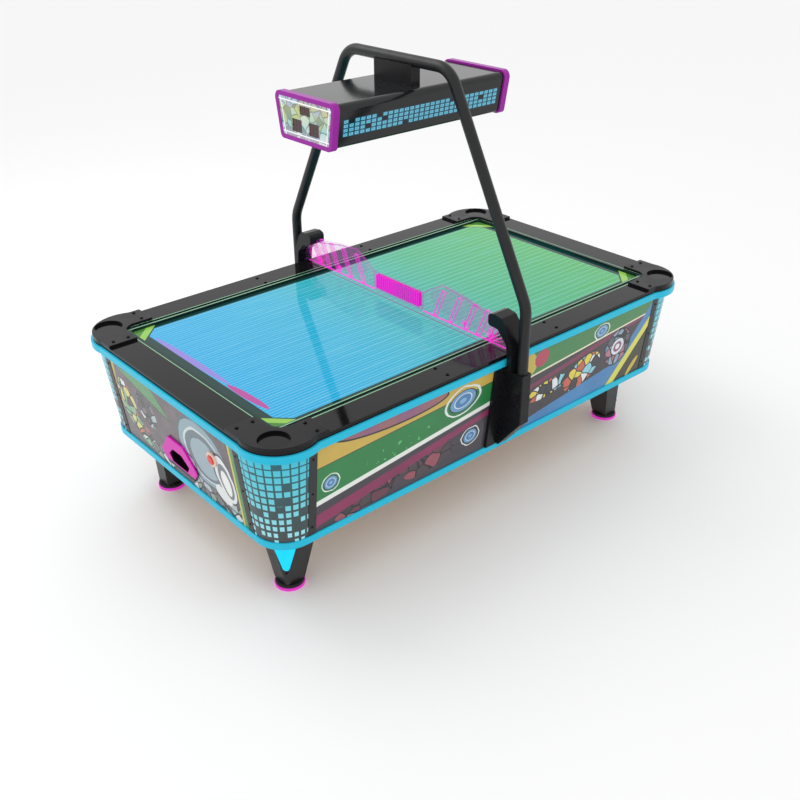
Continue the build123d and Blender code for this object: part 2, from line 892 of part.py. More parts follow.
def chute_block(inset):
    """Puck chute, filled: wide under the goal and narrow at the mouth."""
    high = rail_top - chute_top_drop
    low = mouth_z - chute_drop
    wall_face = half_x - wall_inset - cabinet_lean * (body_top - low)
    top_mid = tray_x + tray_gap + chute_top_deep / 2
    low_mid = wall_face - chute_gap - chute_deep / 2
    wide = goal_width + 2 * chute_spread - 2 * inset
    upper = Pos(top_mid, 0, high) * Rectangle(chute_top_deep - 2 * inset, wide)
    lower = Pos(low_mid, 0, low + inset) * Rectangle(chute_deep - 2 * inset, chute_wide - 2 * inset)
    return loft([lower.face(), upper.face()], ruled=True)


def return_chutes():
    chute = chute_block(0) - chute_block(chute_wall)
    mouth = extrude(mouth_plane("rear") * mouth_sketch(), -wall_inset - chute_deep / 2)
    chute -= mouth
    return group([chute, Rot(0, 0, 180) * chute])


# Start buttons
def start_bezels():
    bezels = []
    for end in ends:
        ring = upright(button_ring, 0, button_flange)
        ring = fillet(ring.edges().group_by(Axis.Z)[-1], button_edge)
        ring += upright(button_barrel, -button_deep, 0)
        ring -= upright(button_dia + 2 * run_gap, -button_tail - 6, button_flange + 1)
        bezels.append(button_plane(end) * ring)
    return group(bezels)


def start_button(end):
    cap = upright(button_dia, -button_tail, button_flange + button_proud)
    cap = fillet(cap.edges().group_by(Axis.Z)[-1], button_edge)
    return button_plane(end) * cap


# Service door on the left side
def hinge_rows():
    return (-door_high / 3, door_high / 3)


def knuckle_half():
    """Half the length of a door knuckle, between the two fixed ones with a gap at each end."""
    return hinge_half - knuckle_long - fit


def barrel(y0, y1, dia):
    """A cylinder along the door's hinge line, in the door's own plane."""
    tall = y1 - y0
    return Pos(door_wide / 2, (y0 + y1) / 2, knuckle_dia / 2) * Rot(90, 0, 0) * Cylinder(dia / 2, tall)


def service_door():
    slab_wide = door_wide - 2 * door_gap
    slab_high = door_high - 2 * door_gap
    door = Pos(0, 0, -wall_thick / 2) * Box(slab_wide, slab_high, wall_thick)
    for y in hinge_rows():
        half = knuckle_half()
        leaf = Pos((door_wide - leaf_long) / 2, y, leaf_thick / 2) * Box(leaf_long, 2 * half, leaf_thick)
        knuckle = leaf + barrel(y - half, y + half, knuckle_dia)
        door += knuckle - barrel(y - half, y + half, pin_dia + 2 * run_gap)
    door -= Pos(lock_in - door_wide / 2, 0, 0) * upright(lock_dia + 2 * run_gap, -2 * wall_thick, wall_thick)
    return door_plane() * door


def door_hinges():
    pieces = []
    for y in hinge_rows():
        for y0 in (y - hinge_half, y + hinge_half - knuckle_long):
            y1 = y0 + knuckle_long
            place = Pos((door_wide + leaf_long) / 2, (y0 + y1) / 2, leaf_thick / 2)
            knuckle = place * Box(leaf_long, knuckle_long, leaf_thick) + barrel(y0, y1, knuckle_dia)
            pieces.append(door_plane() * (knuckle - barrel(y0, y1, pin_dia)))
        pieces.append(door_plane() * barrel(y - hinge_half, y + hinge_half, pin_dia))
    return group(pieces)


def door_lock():
    """Cam lock: a round body through the door and a tongue behind the wall."""
    tongue_z = -wall_inset - 4
    lock = upright(lock_dia, tongue_z, lock_head) + upright(lock_head_dia, 0, lock_head)
    lock -= Pos(0, 0, lock_head) * Box(*keyway)
    lock += Pos(0, tongue_reach, tongue_z + tongue[2] / 2) * Box(*tongue)
    return door_plane() * Pos(lock_in - door_wide / 2, 0, 0) * lock


# Mains inlet and its rocker switch
def rocker_place():
    return Pos(rocker_x, 0, -2)


def below(x, size, top=0):
    """A box centred on x whose upper face is at the given height."""
    return Pos(x, 0, top - size[2] / 2) * Box(*size)


def mains_inlet():
    face = inlet_plate[2]
    inlet = below(0, inlet_plate, face) + below(socket_x, socket_body) + below(rocker_x, rocker_body)
    inlet -= below(socket_x, socket_recess[:2] + (socket_recess[2] + face,), face)
    inlet -= below(rocker_x, rocker_recess[:2] + (rocker_recess[2] + face,), face)
    inlet -= rocker_place() * Rot(0, 90, 0) * Cylinder(rocker_pin / 2 + run_gap, rocker_pin_long + 1)
    for x, y in ((-7, -3), (7, -3), (0, 4)):
        inlet += Pos(0, y, 0) * below(socket_x + x, blade, blade[2] - socket_recess[2])
    return inlet_plane() * inlet


def rocker_switch():
    points = [(-11.5, -5), (11.5, -5), (12, 6), (0, 8.5), (-12, 6)]
    rocker = along_x(make_face(Polyline(points, close=True)), -rocker_wide / 2, rocker_wide / 2)
    rocker += Rot(0, 90, 0) * Cylinder(rocker_pin / 2, rocker_pin_long)
    return inlet_plane() * rocker_place() * Rot(-rocker_tilt, 0, 0) * rocker


def control_box():
    """Electronics case on the cabinet floor, with cooling slots in its lid."""
    long, wide, tall = case_size
    case = Box(long, wide, tall) - Box(long - 2 * case_wall, wide - 2 * case_wall, tall - 2 * case_wall)
    for k in range(-4, 5):
        case -= Pos(k * vent_pitch, 0, tall / 2) * Box(*vent)
    return Pos(case_x, 0, floor_top + tall / 2) * case


# Small screws of the edge strips and shields
def screw_frames():
    """Places of the small screws, each with z along the screw and out of the piece."""
    frames = []
    for side, half in (("left", side_panel_half), ("right", side_panel_half), ("front", end_panel_half),
                       ("rear", end_panel_half)):
        for along in (-1, 1):
            for z in (low_trim_top + screw_in, panel_mid, trim_low - screw_in):
                plane = face_plane(side, along * (half + strip_wide / 2), z)
                frames.append(plane.location * Pos(0, 0, strip_proud))
    return frames


def shield_frames():
    return [bevel_plane().location * Pos(x, y, shield_thick) for x, y in shield_screw_places()]


def screw():
    head = Pos(0, 0, screw_head_tall / 2) * Cylinder(screw_head / 2, screw_head_tall)
    head = fillet(head.edges().group_by(Axis.Z)[-1], screw_edge)
    return head + Pos(0, 0, -screw_long / 2) * Cylinder(screw_dia / 2, screw_long)


def screw_hole():
    return Pos(0, 0, -screw_long / 2) * Cylinder(screw_dia / 2 + hole_gap, screw_long + 2)


def main():
    os.makedirs("parts", exist_ok=True)
    nodes = {}
    nodes.update(rails())
    nodes.update(corner_caps())
    nodes["rail_bolts"] = rail_bolts()
    nodes.update(banks())
    nodes["playfield"] = playfield()
    nodes["air_box"] = air_box()
    nodes["blower_housing"] = blower_housing()
    nodes["blower_motor"] = blower_motor()
    nodes["blower_wheel"] = blower_wheel()
    nodes["intake_grille"] = intake_grille()
    nodes["top_light_trim"] = top_trim()
    nodes["low_light_trim"] = low_trim()
    nodes.update(panels())
    strip_holes = [frame * screw_hole() for frame in screw_frames()]
    nodes["edge_strips"] = group([edge_strips() - strip_holes])
    nodes["cabinet_walls"] = group([cabinet_walls() - strip_holes])
    nodes["corner_posts"] = corner_posts()
    nodes["cabinet_floor"] = cabinet_floor()
    leg_holes = [frame * screw_hole() for frame in shield_frames()]
    one_leg = leg() - leg_holes
    one_shield = shield() - leg_holes
    nodes["legs"] = group([to_corner(one_leg, sx, sy) for sx, sy in quadrants])
    nodes["leg_shields"] = group([to_corner(one_shield, sx, sy) for sx, sy in quadrants])
    screws = [frame * screw() for frame in screw_frames()]
    for frame in shield_frames():
        screws += [to_corner(frame * screw(), sx, sy) for sx, sy in quadrants]
    nodes["trim_screws"] = group(screws)
    names = {(-1, -1): "front_right", (-1, 1): "front_left", (1, -1): "rear_right", (1, 1): "rear_left"}
    for (sx, sy), name in names.items():
        nodes[name + "_foot"] = to_corner(foot(), sx, sy)
        nodes[name + "_foot_ring"] = to_corner(foot_ring(), sx, sy)
    nodes["arch_tube"] = arch_tube()
    nodes["post_covers"] = group([post_cover(1), post_cover(-1)])
    nodes["divider_hoods"] = group([hood(1), hood(-1)])
    nodes["divider_sheet"] = divider_sheet()
    nodes["divider_sign"] = divider_sign()
    nodes["score_bar"] = score_bar()
    nodes["bar_end_trims"] = bar_end_trims()
    nodes["bar_end_plates"] = bar_end_plates()
    nodes["score_digits"] = score_digits()
    nodes["bar_hanger"] = hanger()
    nodes["return_bezels"] = return_bezels()
    nodes["return_chutes"] = return_chutes()
    nodes["start_bezels"] = start_bezels()
    for end in ends:
        nodes[end + "_start_button"] = start_button(end)
    nodes["service_door"] = service_door()
    nodes["door_hinges"] = door_hinges()
    nodes["door_lock"] = door_lock()
    nodes["mains_inlet"] = mains_inlet()
    nodes["rocker_switch"] = rocker_switch()
    nodes["control_box"] = control_box()
    for name, shape in nodes.items():
        export_step(shape, f"parts/{name}.step")


main()
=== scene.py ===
import math

import bpy
from mathutils import Matrix, Vector


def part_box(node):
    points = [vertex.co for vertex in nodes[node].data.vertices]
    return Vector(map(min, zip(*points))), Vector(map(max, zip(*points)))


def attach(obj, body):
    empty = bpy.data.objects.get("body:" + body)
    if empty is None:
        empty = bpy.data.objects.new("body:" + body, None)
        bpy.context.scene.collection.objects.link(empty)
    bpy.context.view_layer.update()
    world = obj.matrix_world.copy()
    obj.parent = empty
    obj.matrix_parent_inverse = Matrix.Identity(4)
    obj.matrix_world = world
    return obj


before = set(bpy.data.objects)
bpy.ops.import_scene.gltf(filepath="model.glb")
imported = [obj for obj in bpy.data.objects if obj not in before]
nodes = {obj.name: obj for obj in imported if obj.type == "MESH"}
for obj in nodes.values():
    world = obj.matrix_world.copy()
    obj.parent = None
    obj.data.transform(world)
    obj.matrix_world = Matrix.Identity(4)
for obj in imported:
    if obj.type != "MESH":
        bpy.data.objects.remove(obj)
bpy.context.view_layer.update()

# Air hockey table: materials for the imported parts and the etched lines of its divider, in metres.
# X runs along the table, Y across it, Z up. Sizes in the dictionaries below are in millimetres.

mm = 0.001


def hexColour(code):
    # sRGB hex to the linear values that Blender works in
    parts = [int(code[k:k + 2], 16) / 255 for k in (1, 3, 5)]
    return tuple(v / 12.92 if v <= 0.04045 else ((v + 0.055) / 1.055) ** 2.4 for v in parts) + (1.0,)


def addNode(tree, kind, settings=None, *inputs):
    # settings go by the name of a property or input, or by an input's number, and may be sockets
    # to link; inputs fill the node's first inputs in order
    node = tree.nodes.new("ShaderNode" + kind)
    for key, value in list((settings or {}).items()) + list(enumerate(inputs)):
        if isinstance(value, bpy.types.NodeSocket):
            tree.links.new(value, node.inputs[key])
        elif key == "inks":
            fillRamp(node.color_ramp, value)
        elif isinstance(key, str) and hasattr(node, key):
            setattr(node, key, value)
        else:
            node.inputs[key].default_value = value
    return node


def fillRamp(ramp, inks):
    while len(ramp.elements) < len(inks):
        ramp.elements.new(0.5)
    for element, (start, ink) in zip(ramp.elements, inks):
        element.position = start
        element.color = hexColour(ink)


def newFinish(name, **settings):
    # a material with one Principled shader; uniform values go straight on its sockets
    finish = bpy.data.materials.new(name)
    finish.use_nodes = True
    tree = finish.node_tree
    shader = tree.nodes["Principled BSDF"]
    for key, value in settings.items():
        socket = shader.inputs[key.replace("_", " ")]
        socket.default_value = hexColour(value) if isinstance(value, str) else value
    return finish, tree, shader


def placeIn(tree):
    # where a point is on the table, in millimetres
    where = addNode(tree, "TexCoord").outputs["Object"]
    return addNode(tree, "VectorMath", {"operation": "SCALE", "Scale": 1 / mm}, where).outputs[0]


def overprint(tree, ground, ink, mask):
    # ink printed over the ground where the mask is 1; either may be a hex colour or a socket
    paints = [hexColour(paint) if isinstance(paint, str) else paint for paint in (ground, ink)]
    return addNode(tree, "Mix", {"data_type": "RGBA", 0: mask, 6: paints[0], 7: paints[1]}).outputs[2]


def flatPlace(tree, place, across, up):
    # a print's own two axes, taken from the table's, with 0 for the third
    axes = addNode(tree, "SeparateXYZ", {0: place})
    picked = addNode(tree, "CombineXYZ", {0: axes.outputs[across], 1: axes.outputs[up]})
    return picked.outputs[0]


def shaky(tree, place, size, reach):
    # a place moved about by up to reach, so that drawn edges look brushed by hand
    noise = addNode(tree, "TexNoise", {"Scale": 1 / size, "Detail": 1.0, "Vector": place})
    shift = addNode(tree, "VectorMath", {"operation": "SUBTRACT"}, noise.outputs["Color"], (0.5, 0.5, 0.5))
    moved = addNode(tree, "VectorMath", {"operation": "MULTIPLY"}, shift.outputs[0],
                    (2 * reach, 2 * reach, 0))
    return addNode(tree, "VectorMath", {"operation": "ADD", 0: place, 1: moved.outputs[0]}).outputs[0]


def underLine(tree, place, start, end):
    # 1 below the line through two places of the print
    normal = (start[1] - end[1], end[0] - start[0], 0)
    level = normal[0] * start[0] + normal[1] * start[1]
    side = addNode(tree, "VectorMath", {"operation": "DOT_PRODUCT", 1: normal, 0: place})
    return addNode(tree, "Math", {"operation": "LESS_THAN"}, side.outputs["Value"], level).outputs[0]


def bothMasks(tree, first, second):
    return addNode(tree, "Math", {"operation": "MULTIPLY"}, first, second).outputs[0]


def lessMask(tree, first, second):
    # the first mask where the second isn't
    rest = addNode(tree, "Math", {"operation": "SUBTRACT"}, first, second).outputs[0]
    return addNode(tree, "Math", {"operation": "GREATER_THAN"}, rest, 0.5).outputs[0]


def insideOval(tree, place, centre, half, turn=0.0):
    # 1 inside an oval with these half widths, turned anticlockwise by so many degrees
    mapping = addNode(tree, "Mapping", {
        "vector_type": "TEXTURE", "Location": (centre[0], centre[1], 0),
        "Rotation": (0, 0, math.radians(turn)), "Scale": (half[0], half[1], 1), "Vector": place})
    far = addNode(tree, "VectorMath", {"operation": "LENGTH", 0: mapping.outputs[0]})
    return addNode(tree, "Math", {"operation": "LESS_THAN"}, far.outputs["Value"], 1.0).outputs[0]


def comicShards(tree, place, cell, inks, outline, bend):
    # bent patches of ink with dark outlines, as an abstract comic print
    bent = shaky(tree, place, cell * 1.4, bend)
    cells = addNode(tree, "TexVoronoi", {"Scale": 1 / cell, "Randomness": 1.0, "Vector": bent})
    picked = addNode(tree, "SeparateColor", {0: cells.outputs["Color"]})
    ramp = addNode(tree, "ValToRGB", {"inks": inks}, picked.outputs[0])
    ramp.color_ramp.interpolation = "CONSTANT"
    patches = ramp.outputs[0]
    edges = addNode(tree, "TexVoronoi", {"feature": "DISTANCE_TO_EDGE", "Scale": 1 / cell, "Vector": bent})
    lines = addNode(tree, "Math", {"operation": "LESS_THAN"}, edges.outputs["Distance"],
                    outline / cell).outputs[0]
    return overprint(tree, patches, "#23252b", lines)


def fineBumps(tree, shader, size, depth):
    # small bumps of a real size and depth, in millimetres
    noise = addNode(tree, "TexNoise", {"Scale": 1 / size, "Detail": 2.0, "Vector": placeIn(tree)})
    bump = addNode(tree, "Bump", {"Distance": depth * mm, "Strength": 1.0, "Height": noise.outputs[0]})
    tree.links.new(bump.outputs[0], shader.inputs["Normal"])
    return noise.outputs[0]


def wornSheen(tree, shader, size, low, high):
    # roughness that wanders between two values, as wiped and handled surfaces show
    noise = addNode(tree, "TexNoise", {"Scale": 1 / size, "Detail": 4.0, "Vector": placeIn(tree)})
    spread = addNode(tree, "MapRange", {1: 0.35, 2: 0.65, 3: low, 4: high, 0: noise.outputs[0]})
    tree.links.new(spread.outputs[0], shader.inputs["Roughness"])


def litPrint(tree, shader, paint, strength):
    # a print lit from behind: it shows its own colour and gives a little of it off
    tree.links.new(paint, shader.inputs["Base Color"])
    tree.links.new(paint, shader.inputs["Emission Color"])
    shader.inputs["Emission Strength"].default_value = strength


def wear(finish, *names):
    # puts a finish on CAD nodes
    for name in names:
        for slot in nodes[name].material_slots:
            slot.material = finish


def railFinishes():
    # high-pressure laminate, black and polished: mirrors the lamps with a faint orange-peel wobble
    laminate, tree, shader = newFinish("Black laminate", Base_Color="#101012", Roughness=0.1,
                                       Specular_IOR_Level=0.2)
    fineBumps(tree, shader, 9.0, 0.006)
    wornSheen(tree, shader, 160.0, 0.05, 0.1)
    wear(laminate, "left_rail", "right_rail", "front_rail", "rear_rail")
    # moulded ABS, polished in the tool: a little softer than the laminate
    moulded, tree, shader = newFinish("Moulded black ABS", Base_Color="#141417", Roughness=0.3,
                                      Specular_IOR_Level=0.22)
    fineBumps(tree, shader, 0.9, 0.012)
    wornSheen(tree, shader, 70.0, 0.24, 0.36)
    wear(moulded, "front_right_cap", "front_left_cap", "rear_right_cap", "rear_left_cap", "post_covers",
         "divider_hoods", "bar_hanger")
    # black-oxide steel: dull, slightly oily, and it scatters light
    oxide, tree, shader = newFinish("Black oxide steel", Base_Color="#101114", Metallic=0.9, Roughness=0.42)
    fineBumps(tree, shader, 0.6, 0.01)
    wear(oxide, "rail_bolts", "trim_screws")


def steelFinishes():
    # galvanised sheet: pale zinc crystals some 12 mm across
    zinc, tree, shader = newFinish("Galvanised sheet steel", Metallic=1.0, Roughness=0.45)
    crystals = addNode(tree, "TexVoronoi", {"Scale": 1 / 12.0, "Vector": placeIn(tree)})
    shade = addNode(tree, "SeparateColor", {0: crystals.outputs["Color"]})
    greys = addNode(tree, "ValToRGB", {"inks": ((0.0, "#8f959a"), (1.0, "#b7bcc0"))}, shade.outputs[0])
    tree.links.new(greys.outputs[0], shader.inputs["Base Color"])
    wear(zinc, "blower_housing", "intake_grille", "return_chutes")
    # nickel-plated steel: bright, with fine marks along the leaf
    nickel, tree, shader = newFinish("Nickel-plated steel", Base_Color="#9a9b9c", Metallic=1.0,
                                     Roughness=0.28)
    fineBumps(tree, shader, 0.5, 0.01)
    wear(nickel, "door_hinges")
    # chrome: nearly a mirror
    chrome, tree, shader = newFinish("Polished chrome", Base_Color="#d9dadb", Metallic=1.0, Roughness=0.07)
    wornSheen(tree, shader, 8.0, 0.04, 0.12)
    wear(chrome, "door_lock")
    # stoved enamel on the motor and the electronics case: grey with a light orange peel
    enamel, tree, shader = newFinish("Grey stoved enamel", Base_Color="#4b4e53", Roughness=0.4)
    fineBumps(tree, shader, 1.6, 0.03)
    wear(enamel, "blower_motor", "control_box")
    # glass-filled nylon: dull black with a faint mottle
    nylon, tree, shader = newFinish("Glass-filled nylon", Base_Color="#1c1d1f", Roughness=0.6)
    fineBumps(tree, shader, 0.8, 0.03)
    wear(nylon, "blower_wheel")
    # powder coat on the arch: a fine even texture of about a millimetre
    coat, tree, shader = newFinish("Black powder coat", Base_Color="#121315", Roughness=0.32,
                                   Specular_IOR_Level=0.4)
    fineBumps(tree, shader, 1.1, 0.05)
    wornSheen(tree, shader, 90.0, 0.32, 0.44)
    wear(coat, "arch_tube")


def woodFinishes():
    # birch plywood: pale, with grain drawn out along the board
    birch, tree, shader = newFinish("Sealed birch plywood", Roughness=0.5)
    grain = addNode(tree, "Mapping", {"Scale": (0.012, 0.16, 0.16), "Vector": placeIn(tree)})
    streaks = addNode(tree, "TexNoise", {"Scale": 1.0, "Detail": 6.0, "Distortion": 0.4,
                                         "Vector": grain.outputs[0]})
    browns = addNode(tree, "ValToRGB", {"inks": ((0.3, "#a9835a"), (0.7, "#d3b285"))}, streaks.outputs[0])
    tree.links.new(browns.outputs[0], shader.inputs["Base Color"])
    bump = addNode(tree, "Bump", {"Distance": 0.05 * mm, "Strength": 0.6, "Height": streaks.outputs[0]})
    tree.links.new(bump.outputs[0], shader.inputs["Normal"])
    wear(birch, "air_box", "cabinet_walls", "corner_posts", "cabinet_floor")
    # black lacquer over laminated wood: the grain just telegraphs through
    lacquer, tree, shader = newFinish("Black lacquered wood", Base_Color="#1f2022", Roughness=0.35)
    grain = addNode(tree, "Mapping", {"Scale": (0.35, 0.35, 0.02), "Vector": placeIn(tree)})
    streaks = addNode(tree, "TexNoise", {"Scale": 1.0, "Detail": 4.0, "Vector": grain.outputs[0]})
    bump = addNode(tree, "Bump", {"Distance": 0.08 * mm, "Strength": 0.7, "Height": streaks.outputs[0]})
    tree.links.new(bump.outputs[0], shader.inputs["Normal"])
    wornSheen(tree, shader, 60.0, 0.3, 0.42)
    wear(lacquer, "legs")


def plasticFinishes():
    # black anodised extrusion of the strips: fine drawn lines along the strip
    drawn, tree, shader = newFinish("Black extruded strip", Base_Color="#202124", Roughness=0.4)
    lines = addNode(tree, "Mapping", {"Scale": (1.2, 1.2, 0.01), "Vector": placeIn(tree)})
    noise = addNode(tree, "TexNoise", {"Scale": 1.0, "Detail": 1.0, "Vector": lines.outputs[0]})
    bump = addNode(tree, "Bump", {"Distance": 0.03 * mm, "Strength": 0.6, "Height": noise.outputs[0]})
    tree.links.new(bump.outputs[0], shader.inputs["Normal"])
    wear(drawn, "edge_strips")
    # moulded rubber: matt, with a fine grain
    rubber, tree, shader = newFinish("Moulded rubber", Base_Color="#17171a", Roughness=0.72)
    fineBumps(tree, shader, 1.2, 0.05)
    wear(rubber, *[corner + "_foot" for corner in ("front_right", "front_left", "rear_right", "rear_left")])
    # matt ABS of the mains inlet
    socket, tree, shader = newFinish("Matt black ABS", Base_Color="#1a1b1d", Roughness=0.55)
    fineBumps(tree, shader, 0.7, 0.02)
    wear(socket, "mains_inlet", "rocker_switch")
    # translucent red polycarbonate of the start buttons, lit from inside
    button, tree, shader = newFinish("Red polycarbonate", Base_Color="#c81a0a", Roughness=0.18,
                                     Emission_Color="#d81c08", Emission_Strength=0.15)
    fineBumps(tree, shader, 5.0, 0.02)
    wear(button, "front_start_button", "rear_start_button")
    # cream ABS of the button rings
    cream, tree, shader = newFinish("Cream ABS", Base_Color="#e2c4b4", Roughness=0.3)
    fineBumps(tree, shader, 1.0, 0.01)
    wear(cream, "start_bezels")


def lightFinishes():
    # opal acrylic over light strips: even colour, a soft gloss and faint dots of the lamps behind
    glows = (
        ("Cyan opal acrylic", "#24aecb", "#20bfe0", 0.16, ("top_light_trim", "low_light_trim")),
        ("Cyan lit acrylic", "#12cff5", "#10d6ff", 0.35, ("leg_shields",)),
        ("Violet opal acrylic", "#861c88", "#a81ca8", 0.22, ("bar_end_trims",)),
        ("Magenta opal acrylic", "#b0309c", "#d838c0", 0.6, ("front_right_foot_ring", "front_left_foot_ring",
                                                             "rear_right_foot_ring", "rear_left_foot_ring")),
        ("Magenta lit bezel", "#b80c98", "#f010c8", 0.2, ("return_bezels",)),
    )
    for name, body, glow, strength, pieces in glows:
        opal, tree, shader = newFinish(name, Base_Color=body, Roughness=0.3, Specular_IOR_Level=0.2,
                                       Emission_Strength=strength)
        lamps = addNode(tree, "TexNoise", {"Scale": 1 / 45.0, "Detail": 1.0, "Vector": placeIn(tree)})
        shade = addNode(tree, "MapRange", {1: 0.3, 2: 0.7, 3: 0.82, 4: 1.0, 0: lamps.outputs[0]})
        lit = addNode(tree, "Mix", {"data_type": "RGBA", "blend_type": "MULTIPLY", 0: 1.0,
                                    6: hexColour(glow), 7: shade.outputs[0]})
        tree.links.new(lit.outputs[2], shader.inputs["Emission Color"])
        fineBumps(tree, shader, 3.0, 0.01)
        wear(opal, *pieces)
        if "return_bezels" in pieces:
            # painted shade: the throat behind the lit face is painted near black and gives off no light, as a
            # deep recess in shade
            place = addNode(tree, "SeparateXYZ", {0: placeIn(tree)})
            out = addNode(tree, "Math", {"operation": "ABSOLUTE"}, place.outputs[0])
            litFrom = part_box("return_bezels")[1][0] / mm - 14.0         # the lit face is 14 mm deep
            throatShade = addNode(tree, "Math", {"operation": "LESS_THAN"}, out.outputs[0], litFrom).outputs[0]
            # painted shade in the throat, in colour and emission
            tree.links.new(overprint(tree, body, "#180a16", throatShade), shader.inputs["Base Color"])
            tree.links.new(overprint(tree, lit.outputs[2], "#000000", throatShade),
                           shader.inputs["Emission Color"])


print("finishes for the plain parts")
railFinishes()
steelFinishes()
woodFinishes()
plasticFinishes()
lightFinishes()


fieldPrint = {
    "half": (1050.0, 532.0),       # the lit area
    "chamfer": 57.0,
    "linePitch": 37.0,             # pale lines along the table
    "lineWidth": 3.6,
    "holePitch": 25.4,             # air holes, an inch apart
    "holeWidth": 1.6,
    "lineInk": "#a6ecf0",
    "lineShow": 0.55,              # how far a line covers the ground
    "middleHalf": 3.0,             # line under the divider
    "middleInk": "#8a3a94",
    # strips of coloured light at the front end: ink, centre, half widths, turn
    "endGlows": (("#9d8fe6", (-1034, 150), (17, 290), 1.0), ("#c552a8", (-1030, -275), (17, 138), 3.0)),
    "borderInk": "#10403c",
    "cornerBands": (("#9ad35c", 10, 56), ("#4e8a3c", 56, 200)),     # ink, start and end past the chamfer
    "holeInk": "#0c3a4c",
    "inks": ((0.0, "#10b0ee"), (0.3, "#20b8e0"), (0.5, "#38bcb8"), (0.7, "#44ba88"), (1.0, "#54ba60")),
}


def fieldFinish():
    # polished clear acrylic over a lit print: glossy, so the arch shows in it
    finish, tree, shader = newFinish("Lit acrylic playing surface", Roughness=0.06, Specular_IOR_Level=0.22)
    place = placeIn(tree)
    axes = addNode(tree, "SeparateXYZ", {0: place})
    along, across = axes.outputs[0], axes.outputs[1]
    halfX, halfY = fieldPrint["half"]
    share = addNode(tree, "MapRange", {1: -halfX, 2: halfX, 0: along})
    paint = addNode(tree, "ValToRGB", {"inks": fieldPrint["inks"]}, share.outputs[0]).outputs[0]
    # brushed look of the diffuser: long soft streaks across the lamps
    stretched = addNode(tree, "Mapping", {"Scale": (0.003, 0.06, 1.0), "Vector": place})
    streaks = addNode(tree, "TexNoise", {"Scale": 1.0, "Detail": 3.0, "Vector": stretched.outputs[0]})
    pale = addNode(tree, "MapRange", {1: 0.45, 2: 0.8, 3: 0.0, 4: 0.25, 0: streaks.outputs[0]})
    paint = overprint(tree, paint, "#8fe0f4", pale.outputs[0])
    # pale lines along the table, and fainter ones between them that fade towards the rear
    rows = addNode(tree, "Math", {"operation": "DIVIDE"}, across, fieldPrint["linePitch"]).outputs[0]
    row = addNode(tree, "Math", {"operation": "FRACT"}, rows).outputs[0]
    lineShare = fieldPrint["lineWidth"] / fieldPrint["linePitch"]
    line = addNode(tree, "Math", {"operation": "LESS_THAN"}, row, lineShare).outputs[0]
    faintLine = addNode(tree, "Math", {"operation": "MULTIPLY"}, line, fieldPrint["lineShow"]).outputs[0]
    paint = overprint(tree, paint, fieldPrint["lineInk"], faintLine)
    shifted = addNode(tree, "Math", {"operation": "ADD"}, row, 0.5).outputs[0]
    halfRow = addNode(tree, "Math", {"operation": "FRACT"}, shifted).outputs[0]
    between = addNode(tree, "Math", {"operation": "LESS_THAN"}, halfRow, lineShare).outputs[0]
    fade = addNode(tree, "MapRange", {0: share.outputs[0], 2: 0.6, 3: 0.45, 4: 0.0}).outputs[0]
    paint = overprint(tree, paint, fieldPrint["lineInk"], bothMasks(tree, between, fade))
    # a magenta line under the divider, and strips of coloured light at the front end
    flat = flatPlace(tree, place, 0, 1)
    farX = addNode(tree, "Math", {"operation": "ABSOLUTE"}, along).outputs[0]
    middle = addNode(tree, "Math", {"operation": "LESS_THAN"}, farX, fieldPrint["middleHalf"]).outputs[0]
    paint = overprint(tree, paint, fieldPrint["middleInk"], middle)
    for ink, centre, half, turn in fieldPrint["endGlows"]:
        paint = overprint(tree, paint, ink, insideOval(tree, flat, centre, half, turn))
    # dark border, with a pale band across each corner
    farY = addNode(tree, "Math", {"operation": "ABSOLUTE"}, across).outputs[0]
    diagonal = addNode(tree, "Math", {"operation": "ADD"}, farX, farY).outputs[0]
    edge = halfX + halfY - fieldPrint["chamfer"]
    pastX = addNode(tree, "Math", {"operation": "GREATER_THAN"}, farX, halfX).outputs[0]
    pastY = addNode(tree, "Math", {"operation": "GREATER_THAN"}, farY, halfY).outputs[0]
    pastCorner = addNode(tree, "Math", {"operation": "GREATER_THAN"}, diagonal, edge).outputs[0]
    pastSide = addNode(tree, "Math", {"operation": "MAXIMUM"}, pastX, pastY).outputs[0]
    border = addNode(tree, "Math", {"operation": "MAXIMUM"}, pastSide, pastCorner).outputs[0]
    paint = overprint(tree, paint, fieldPrint["borderInk"], border)
    for ink, start, end in fieldPrint["cornerBands"]:
        inside = addNode(tree, "Math", {"operation": "GREATER_THAN"}, diagonal, edge + start).outputs[0]
        outside = addNode(tree, "Math", {"operation": "GREATER_THAN"}, diagonal, edge + end).outputs[0]
        paint = overprint(tree, paint, ink, lessMask(tree, inside, outside))
    # air holes
    grid = addNode(tree, "VectorMath", {"operation": "SCALE", "Scale": 1 / fieldPrint["holePitch"], 0: flat})
    inCell = addNode(tree, "VectorMath", {"operation": "FRACTION", 0: grid.outputs[0]})
    fromHole = addNode(tree, "VectorMath", {"operation": "DISTANCE", 1: (0.5, 0.5, 0), 0: inCell.outputs[0]})
    holeShare = fieldPrint["holeWidth"] / 2 / fieldPrint["holePitch"]
    hole = addNode(tree, "Math", {"operation": "LESS_THAN"}, fromHole.outputs["Value"], holeShare).outputs[0]
    paint = overprint(tree, paint, fieldPrint["holeInk"], lessMask(tree, hole, border))
    # the print takes less of the room's light than it gives off itself
    dim = addNode(tree, "Mix", {"data_type": "RGBA", "blend_type": "MULTIPLY", 0: 1.0, 6: paint,
                                7: hexColour("#8a8a8a")})
    tree.links.new(dim.outputs[2], shader.inputs["Base Color"])
    tree.links.new(paint, shader.inputs["Emission Color"])
    shader.inputs["Emission Strength"].default_value = 0.62
    wear(finish, "playfield")


cushionPrint = {
    "ridge": 2.5,                  # half widths of the pale painted highlight lines
    "inner": 3.0,
    "end": 2.0,
    "innerIn": 28.0,               # from the outer edge to the inner line
    "topSkin": 0.5,                # depth below the top that still counts as the top
    # the anodised ground, and the pale ink of the painted highlights
    "inks": ("#14302c", "#8fc49c"),
}


